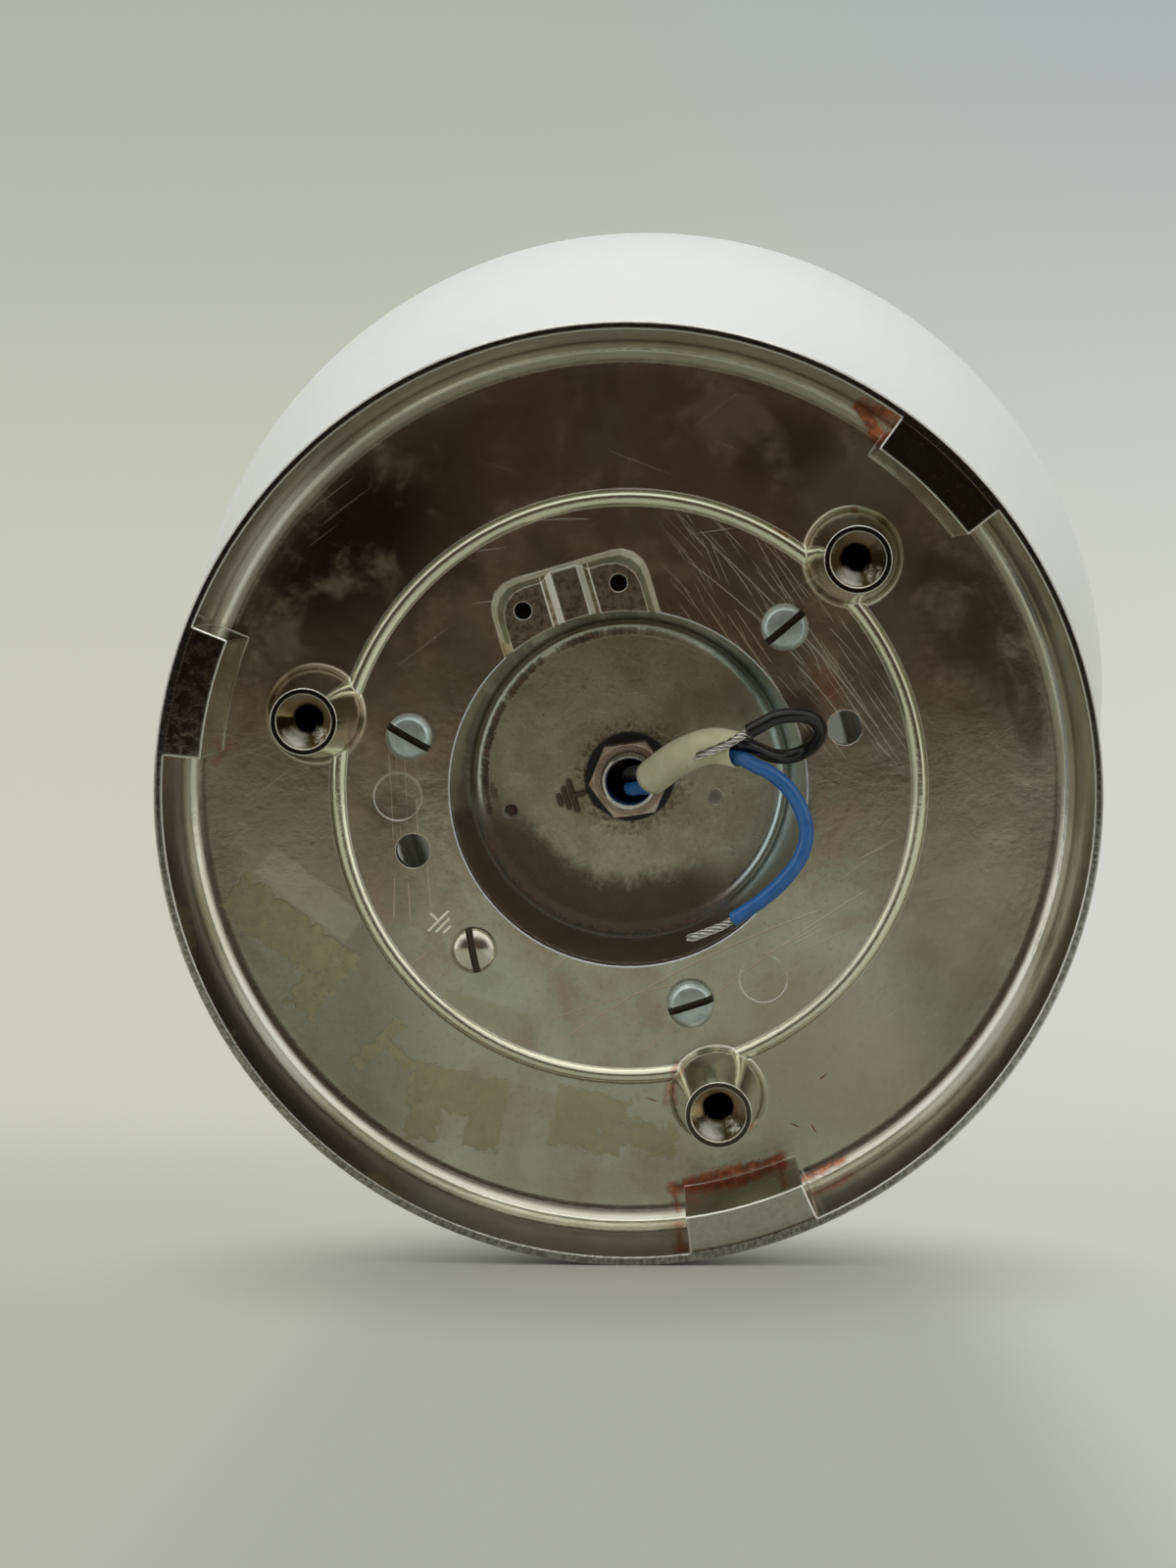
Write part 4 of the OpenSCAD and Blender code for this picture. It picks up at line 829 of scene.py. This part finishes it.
def cup_metal():
    k = Look("nickel_cup")
    mottle = k.noise(0.16, 5, 0.62, 0.4)
    speck = k.noise(1.1, 5, 0.65)
    ragged = k.noise(0.5, 5, 0.65)
    crumbs = k.noise(1.9, 3, 0.7)
    mark = k.times(k.blob((-10.2, -3.5), (5.2, 5.2), 0, 0.3, 0.3, mottle), k.ramp(k.y, 40, 40.4))
    smooth_normal, bend = k.round_edges(k.mixf(mark, 0.0004, 0.00005))
    floor = k.times(k.ramp(k.y, 40.2, 40.8), k.ramp(k.r, 27, 26.4))
    front = k.ramp(k.y, 41.2, 41.6)

    wall = k.mix(k.ramp(mottle, 0.35, 0.7), (0.54, 0.57, 0.49), (0.44, 0.45, 0.36))
    wall = k.mix(k.ramp(k.x, 4, 28), wall, (0.5, 0.6, 0.61))
    ground = k.mix(k.ramp(mottle, 0.35, 0.65), (0.58, 0.55, 0.43), (0.46, 0.41, 0.3))
    ground = k.mix(k.ramp(speck, 0.52, 0.8, 0, 0.65), ground, DARK)
    near_nut = k.times(k.ramp(k.madd(ragged, 6, k.r), 15.5, 11), k.ramp(speck, 0.4, 0.62))
    ground = k.mix(k.times(near_nut, 0.75), ground, (0.12, 0.085, 0.05))
    colour = k.mix(floor, wall, ground)
    colour = k.mix(k.either(front, k.ramp(k.r, 31.6, 32)), colour, (0.62, 0.595, 0.51))

    # brown stains low in the well, a dirt line round its floor, and dark pits
    spin = k.math("ARCTAN2", k.z, k.x)
    along = k.noise(1, 4, 0.65, at=k.merge(k.times(spin, 3), 0, 0))
    low = k.ramp(k.madd(k.x, 0.28, k.z), -8, -19)
    reach = k.madd(ragged, 9, k.r)
    puddle = k.times(low, k.ramp(reach, 21.5, 26.5), k.ramp(k.x, 22, 10), k.ramp(k.y, 35, 39))
    ring = k.times(k.window(k.madd(crumbs, 1.8, k.r), 27, 27.8, 0.5), k.ramp(k.y, 39, 40))
    leftish = k.ramp(k.x, 16, -8, 0.15, 1)
    ring = k.times(ring, k.ramp(along, 0.4, 0.5), leftish)
    spots = k.marks(
        k.blob, ((-21.9, -6.3), (1.3, 1.3), 0, 0.6, 0.5, crumbs),
        ((15.5, -3.7), (1.2, 1.2), 0, 0.4, 0.5, crumbs, 0.65),
        ((-24.8, -3), (0.7, 1.6), 20, 0.6, 0.4, crumbs, 0.8))
    grime = k.times(k.either(puddle, ring), k.ramp(crumbs, 0.22, 0.5, 0.35, 1), k.ramp(k.y, 41.3, 41.15))
    grime = k.either(grime, k.times(spots, k.ramp(k.y, 40.5, 40.9)))
    colour = k.mix(k.times(grime, 0.92), colour,
                   k.mix(k.ramp(ragged, 0.4, 0.6), (0.06, 0.038, 0.022), (0.17, 0.075, 0.04)))
    film = k.times(low, k.ramp(reach, 22, 27), k.ramp(k.y, 39.8, 40.5), k.ramp(k.y, 41.3, 41.15))
    colour = k.mix(k.times(film, 0.8), colour, (0.14, 0.095, 0.058))
    smudge = k.times(k.blob((-29.5, -7), (3, 3), 0, 2, 2, ragged), k.window(k.y, 24, 34, 3))
    colour = k.mix(k.times(smudge, 0.8), colour, DARK)
    # relief sign on the floor: dark brown, nearly black round its foot as painted shade
    sign_foot_shade = k.times(mark, k.crevice(0.7, 0.8, 1), k.ramp(k.y, 40.86, 40.94))
    colour = k.mix(k.times(sign_foot_shade, 0.9), colour, (0.05, 0.033, 0.02))
    colour = k.mix(k.times(mark, k.ramp(k.y, 40.98, 40.92), 0.85), colour, (0.1, 0.07, 0.045))
    # back of the flange, painted black as painted shade where the base plate lies on it
    colour = k.mix(k.times(k.ramp(k.r, 32.2, 32.6), k.ramp(k.y, 21.4, 21.2)), colour, SOOT_AND_SHADE)

    edge = k.ramp(bend, 0.03, 0.15)
    colour = k.mix(k.times(edge, 0.5), colour, BRIGHT)
    # painted shade in the corner round the floor of the well
    dirt_and_shade = k.times(k.crevice(0.8, 0.3, 0.9), k.ramp(k.y, 41.4, 41.1), floor)
    colour = k.mix(k.times(dirt_and_shade, 0.95), colour, (0.05, 0.033, 0.02))

    foul = k.either(grime, dirt_and_shade)
    rough = k.mixf(floor, 0.15, k.ramp(speck, 0.3, 0.7, 0.26, 0.38))
    rough = k.mixf(foul, rough, 0.6)
    metal = k.mixf(foul, 1, 0.2)
    height = k.madd(mottle, 0.8, k.times(speck, 0.3))
    height = k.madd(k.times(grime, crumbs), 1.2, height)
    k.set(Base_Color=colour, Metallic=metal, Roughness=rough,
          Normal=k.bump(height, 0.00012, 0.8, smooth_normal))
    return k


dress(base_metal(), "base_dish")
dress(cup_metal(), "gallery_cup")


def metal(name, light, dark, rough, edge_mm=0.15, dirt_and_shade=SOOT_AND_SHADE, corner_shade_mm=0.8, slots=(), scratch=0.3):
    """Turned or pressed metal: uneven tone, rubbed edges, dark specks, and painted shade in the corners and in
    a screw slot.
    """
    k = Look(name)
    mottle = k.noise(0.5, 4, 0.6, 0.5)
    speck = k.noise(2.4, 4, 0.65)
    normal, bend = k.round_edges(edge_mm)
    colour = k.mix(k.ramp(mottle, 0.35, 0.65), light, dark)
    colour = k.mix(k.ramp(speck, 0.6, 0.8, 0, scratch), colour, dirt_and_shade)
    colour = k.mix(k.ramp(bend, 0.05, 0.2, 0, 0.6), colour, tuple(min(1, c * 1.25) for c in light))
    corner_shade = k.crevice(corner_shade_mm, 0.35, 0.9)
    colour = k.mix(k.times(corner_shade, 0.8), colour, dirt_and_shade)
    # screw slots painted darker as painted shade
    for cx, cz, turn in slots:
        u, v = k.seen(cx, cz, turn)
        slot_shade = k.times(k.ramp(k.size(v), 0.68, 0.6), k.ramp(k.size(u), 4.3, 4.1))
        colour = k.mix(k.times(slot_shade, 0.95), colour, tuple(c * 0.5 for c in dirt_and_shade))
    height = k.madd(speck, 0.35, mottle)
    k.set(Base_Color=colour, Metallic=1, Roughness=k.ramp(speck, 0.3, 0.7, rough, rough + 0.1),
          Normal=k.bump(height, 0.00005, 0.7, normal))
    return k


dress(metal("zinc_screw", (0.64, 0.725, 0.71), (0.5, 0.575, 0.56), 0.36, 0.12, (0.1, 0.07, 0.04), 0.6,
            [screw_seat(*p) for p in SCREW_PLACES]), plate_screws)
dress(metal("nickel_screw", (0.72, 0.7, 0.6), (0.6, 0.57, 0.46), 0.12, 0.15, (0.08, 0.06, 0.04), 0.8,
            [screw_seat(*EARTH_PLACE)]), earth_screw)
dress(metal("steel", (0.7, 0.69, 0.66), (0.55, 0.53, 0.5), 0.2, 0.06, SOOT_AND_SHADE, 0.3), tube)
dress(metal("nut_metal", (0.55, 0.43, 0.36), (0.46, 0.34, 0.27), 0.24, 0.35, (0.1, 0.07, 0.05)), "tube_nut",
      "tube_locknut")
dress(metal("terminal", (0.72, 0.62, 0.38), (0.6, 0.5, 0.28), 0.22), "terminal_screws")
dress(metal("bulb_metal", (0.8, 0.8, 0.78), (0.7, 0.7, 0.68), 0.22), cap)
dress(metal("solder", (0.66, 0.66, 0.68), (0.56, 0.56, 0.58), 0.3), "bulb_contact")
dress(metal("brass", (0.78, 0.56, 0.24), (0.66, 0.44, 0.17), 0.22), shell, "centre_contact",
      "side_contact")
dress(metal("tinned", (0.8, 0.79, 0.75), (0.62, 0.6, 0.55), 0.25, 0.05, (0.2, 0.18, 0.15), 0.3), blue_wires,
      black_wires)
dress(metal("nickel_knob", (0.7, 0.68, 0.61), (0.6, 0.57, 0.49), 0.2, 0.05, SOOT_AND_SHADE, 0.3), *grips)
dress(metal("filament", (0.25, 0.25, 0.26), (0.18, 0.18, 0.19), 0.35, 0.02), filament)


def plastic(name, light, dark, rough, grain_mm=1.2, depth=0.02, coat=0, sub=0):
    """Moulded, glazed or drawn stuff with uneven tone and a fine surface."""
    k = Look(name)
    mottle = k.noise(0.35, 4, 0.6, 0.4)
    grain = k.noise(1 / grain_mm, 3, 0.6)
    dust = k.ramp(k.noise(2.2, 4, 0.7), 0.62, 0.8, 0, 0.12)
    colour = k.mix(k.ramp(mottle, 0.3, 0.7), light, dark)
    colour = k.mix(dust, colour, (0.32, 0.29, 0.24))
    k.set(Base_Color=colour, Roughness=k.madd(grain, 0.16, rough - 0.05), Coat_Weight=coat,
          Normal=k.bump(grain, depth * MM, 0.6, k.round_edges(0.15)[0]))
    if sub:
        k.set(Subsurface_Weight=sub, Subsurface_Radius=(0.8, 0.7, 0.5), Subsurface_Scale=MM)
    return k


dress(plastic("dark_washer", (0.022, 0.021, 0.02), (0.012, 0.012, 0.012), 0.45), "tube_washer")
dress(plastic("bakelite", (0.03, 0.016, 0.01), (0.018, 0.01, 0.007), 0.22), "lampholder_cap",
      "lampholder_sleeve")
dress(plastic("bulb_black", (0.015, 0.015, 0.018), (0.01, 0.01, 0.012), 0.15), "bulb_insulator")
dress(plastic("porcelain", (0.84, 0.81, 0.73), (0.78, 0.74, 0.65), 0.16, 3, 0.03, 0.5), "lampholder_insert")
dress(plastic("soft_tip", (0.85, 0.84, 0.8), (0.78, 0.77, 0.72), 0.45),
      *["grip_tip_%d" % i for i in range(1, len(GRIP_ANGLES) + 1)])
dress(plastic("cream_sleeve", (0.76, 0.745, 0.51), (0.66, 0.645, 0.42), 0.28, 2.5, 0.05, 0, 0.5), sleeve)
dress(plastic("blue_pvc", (0.03, 0.155, 0.44), (0.02, 0.115, 0.35), 0.2, 3, 0.006), blue_cord,
      "blue_lead_inner")
dress(plastic("black_pvc", (0.008, 0.008, 0.008), (0.005, 0.005, 0.006), 0.16, 3, 0.006), black_cord,
      "black_lead_inner")


def clear(name):
    k = Look(name)
    ripple = k.noise(0.06, 2, 0.5)
    k.set(Base_Color=k.mix(k.ramp(ripple, 0.3, 0.7), (0.97, 0.98, 0.98), (0.94, 0.96, 0.96)), Roughness=0.02,
          Transmission_Weight=1, IOR=1.5, Normal=k.bump(ripple, 0.0002, 0.3))
    return k


dress(clear("bulb_clear"), bulb)
dress(clear("stem_clear"), "bulb_stem")


def soft_seal():
    k = Look("seal")
    cloud = k.noise(0.3, 4, 0.6)
    k.set(Base_Color=k.mix(k.ramp(cloud, 0.3, 0.7), (0.95, 0.96, 0.95), (0.9, 0.91, 0.89)), Roughness=0.45,
          IOR=1.4, Transmission_Weight=0.9,
          Normal=k.bump(k.noise(1.5, 3, 0.6), 0.00008, 0.5, k.round_edges(0.2)[0]))
    return k


dress(soft_seal(), "shade_gasket")


def opal_glass():
    k = Look("opal")
    cloud = k.noise(0.02, 3, 0.5)
    k.set(Base_Color=k.mix(k.ramp(cloud, 0.3, 0.7), (0.865, 0.972, 0.855), (0.855, 0.962, 0.845)),
          Roughness=0.35, Subsurface_Weight=1, Subsurface_Radius=(1, 1, 0.95), Subsurface_Scale=0.0085,
          Normal=k.bump(k.noise(0.04, 2, 0.5), 0.0006, 0.3))
    return k


dress(opal_glass(), shade)


# ---- table, sweep and light
TILT = math.radians(-8)
BALL_FOOT = 241  # from the rim plane to where the ball touches the tilted table, in mm


def sweep_stage():
    """White table that falls away from the camera and rises into a backdrop far behind."""
    along = Vector((0, math.cos(TILT), math.sin(TILT)))
    out = Vector((0, -math.sin(TILT), math.cos(TILT)))
    start = Vector((0, 0, -0.08))
    reach, bend, high, steps = 1.25, 0.9, 2.6, 24
    line = [(s, 0) for s in (-0.3, -0.1, 0, 0.1, 0.3, 0.6, 0.9, reach)]
    line += [(reach + bend * math.sin(a), bend - bend * math.cos(a))
             for a in (math.pi / 2 * i / steps for i in range(1, steps + 1))]
    line.append((reach + bend, high))
    width, cols = 3, 12
    verts = [start + along * s + out * h + Vector((-width + 2 * width * c / cols, 0, 0))
             for s, h in line for c in range(cols + 1)]
    corners = [i * (cols + 1) + c for i in range(len(line) - 1) for c in range(cols)]
    obj = new_object("table", verts, [(a, a + 1, a + cols + 2, a + cols + 1) for a in corners])
    k = Look("table_white")
    cloud = k.noise(0.02, 4)
    k.set(Base_Color=k.mix(k.ramp(cloud, 0.3, 0.7), (0.5, 0.5, 0.45), (0.475, 0.478, 0.43)), Roughness=0.6)
    # away from the lamp the stage is a plain pale tone, lightest behind the lamp and darker in front, with a
    # painted shadow in a band straight in front of the lamp
    right = k.ramp(k.x, -350, 450)
    front = k.mix(k.ramp(k.x, -32, -52), (0.4, 0.41, 0.345), (0.46, 0.47, 0.39))
    front = k.mix(k.ramp(k.x, 42, 68), front, (0.54, 0.555, 0.49))
    near = k.mix(k.ramp(k.x, -100, 100), (0.51, 0.52, 0.43), (0.59, 0.6, 0.53))
    middle = k.mix(right, (0.605, 0.61, 0.51), (0.66, 0.67, 0.615))
    above = k.mix(right, (0.41, 0.445, 0.385), (0.395, 0.43, 0.435))
    away = k.far(k.times(k.x, 0.9), k.math("ADD", k.y, 4))
    tone = k.coats(
        front, (k.ramp(k.y, -80, 10), near), (k.ramp(k.y, 50, 380), middle), (k.ramp(k.z, -260, 640), above),
        # painted shadow: a soft dark patch where the rim stands
        (k.ramp(away, 90, 0), (0.19, 0.195, 0.155)))
    paths = k.add("LightPath")
    plain_view = k.either(paths.outputs["Is Camera Ray"], paths.outputs["Is Glossy Ray"],
                          paths.outputs["Is Transmission Ray"])
    # real shadow where the rim and the ball touch the table
    under_ball = k.far(k.x, k.math("ADD", k.y, -BALL_FOOT))
    plain = k.times(plain_view, k.ramp(away, 8, 60), k.ramp(under_ball, 15, 85))
    shader = k.add("MixShader", plain, k.bsdf.outputs[0], k.add("Emission", tone).outputs[0])
    k.put(k.out.inputs[0], shader.outputs[0])
    obj.data.materials.append(k.mat)


sweep_stage()


lamp = bpy.data.objects.new("overhead", bpy.data.lights.new("overhead", "AREA"))
bpy.context.scene.collection.objects.link(lamp)
lamp.data.shape, lamp.data.size, lamp.data.size_y = "RECTANGLE", 1.3, 1
lamp.data.energy, lamp.data.color = 6.3, (1, 1, 0.98)
lamp.location = (0, 0.15, 1.5)
lamp.rotation_euler = (Vector((0, 0.1, 0)) - lamp.location).to_track_quat("-Z", "Y").to_euler()

# pale room with a dark hood behind the camera
world = bpy.data.worlds.new("room")
bpy.context.scene.world = world
world.use_nodes = True
room = Nodes(world.node_tree)
x, y, z = room.split(room.add("TexCoord").outputs["Generated"])
hood = room.ramp(room.times(y, -1), 0.5, 0.9)
dark = room.times(hood, room.math("SUBTRACT", 1, room.ramp(z, 0.3, 0.75)))
tone = room.mix(dark, (1, 1, 0.97), (0.07, 0.051, 0.036))
# seen directly by the camera, the room is a plain pale tone
seen = room.mix(room.add("LightPath").outputs["Is Camera Ray"], tone, (0.42, 0.44, 0.4))
room.add("OutputWorld", room.add("Background", seen, 1).outputs[0])

bpy.context.scene.view_settings.view_transform = "Standard"
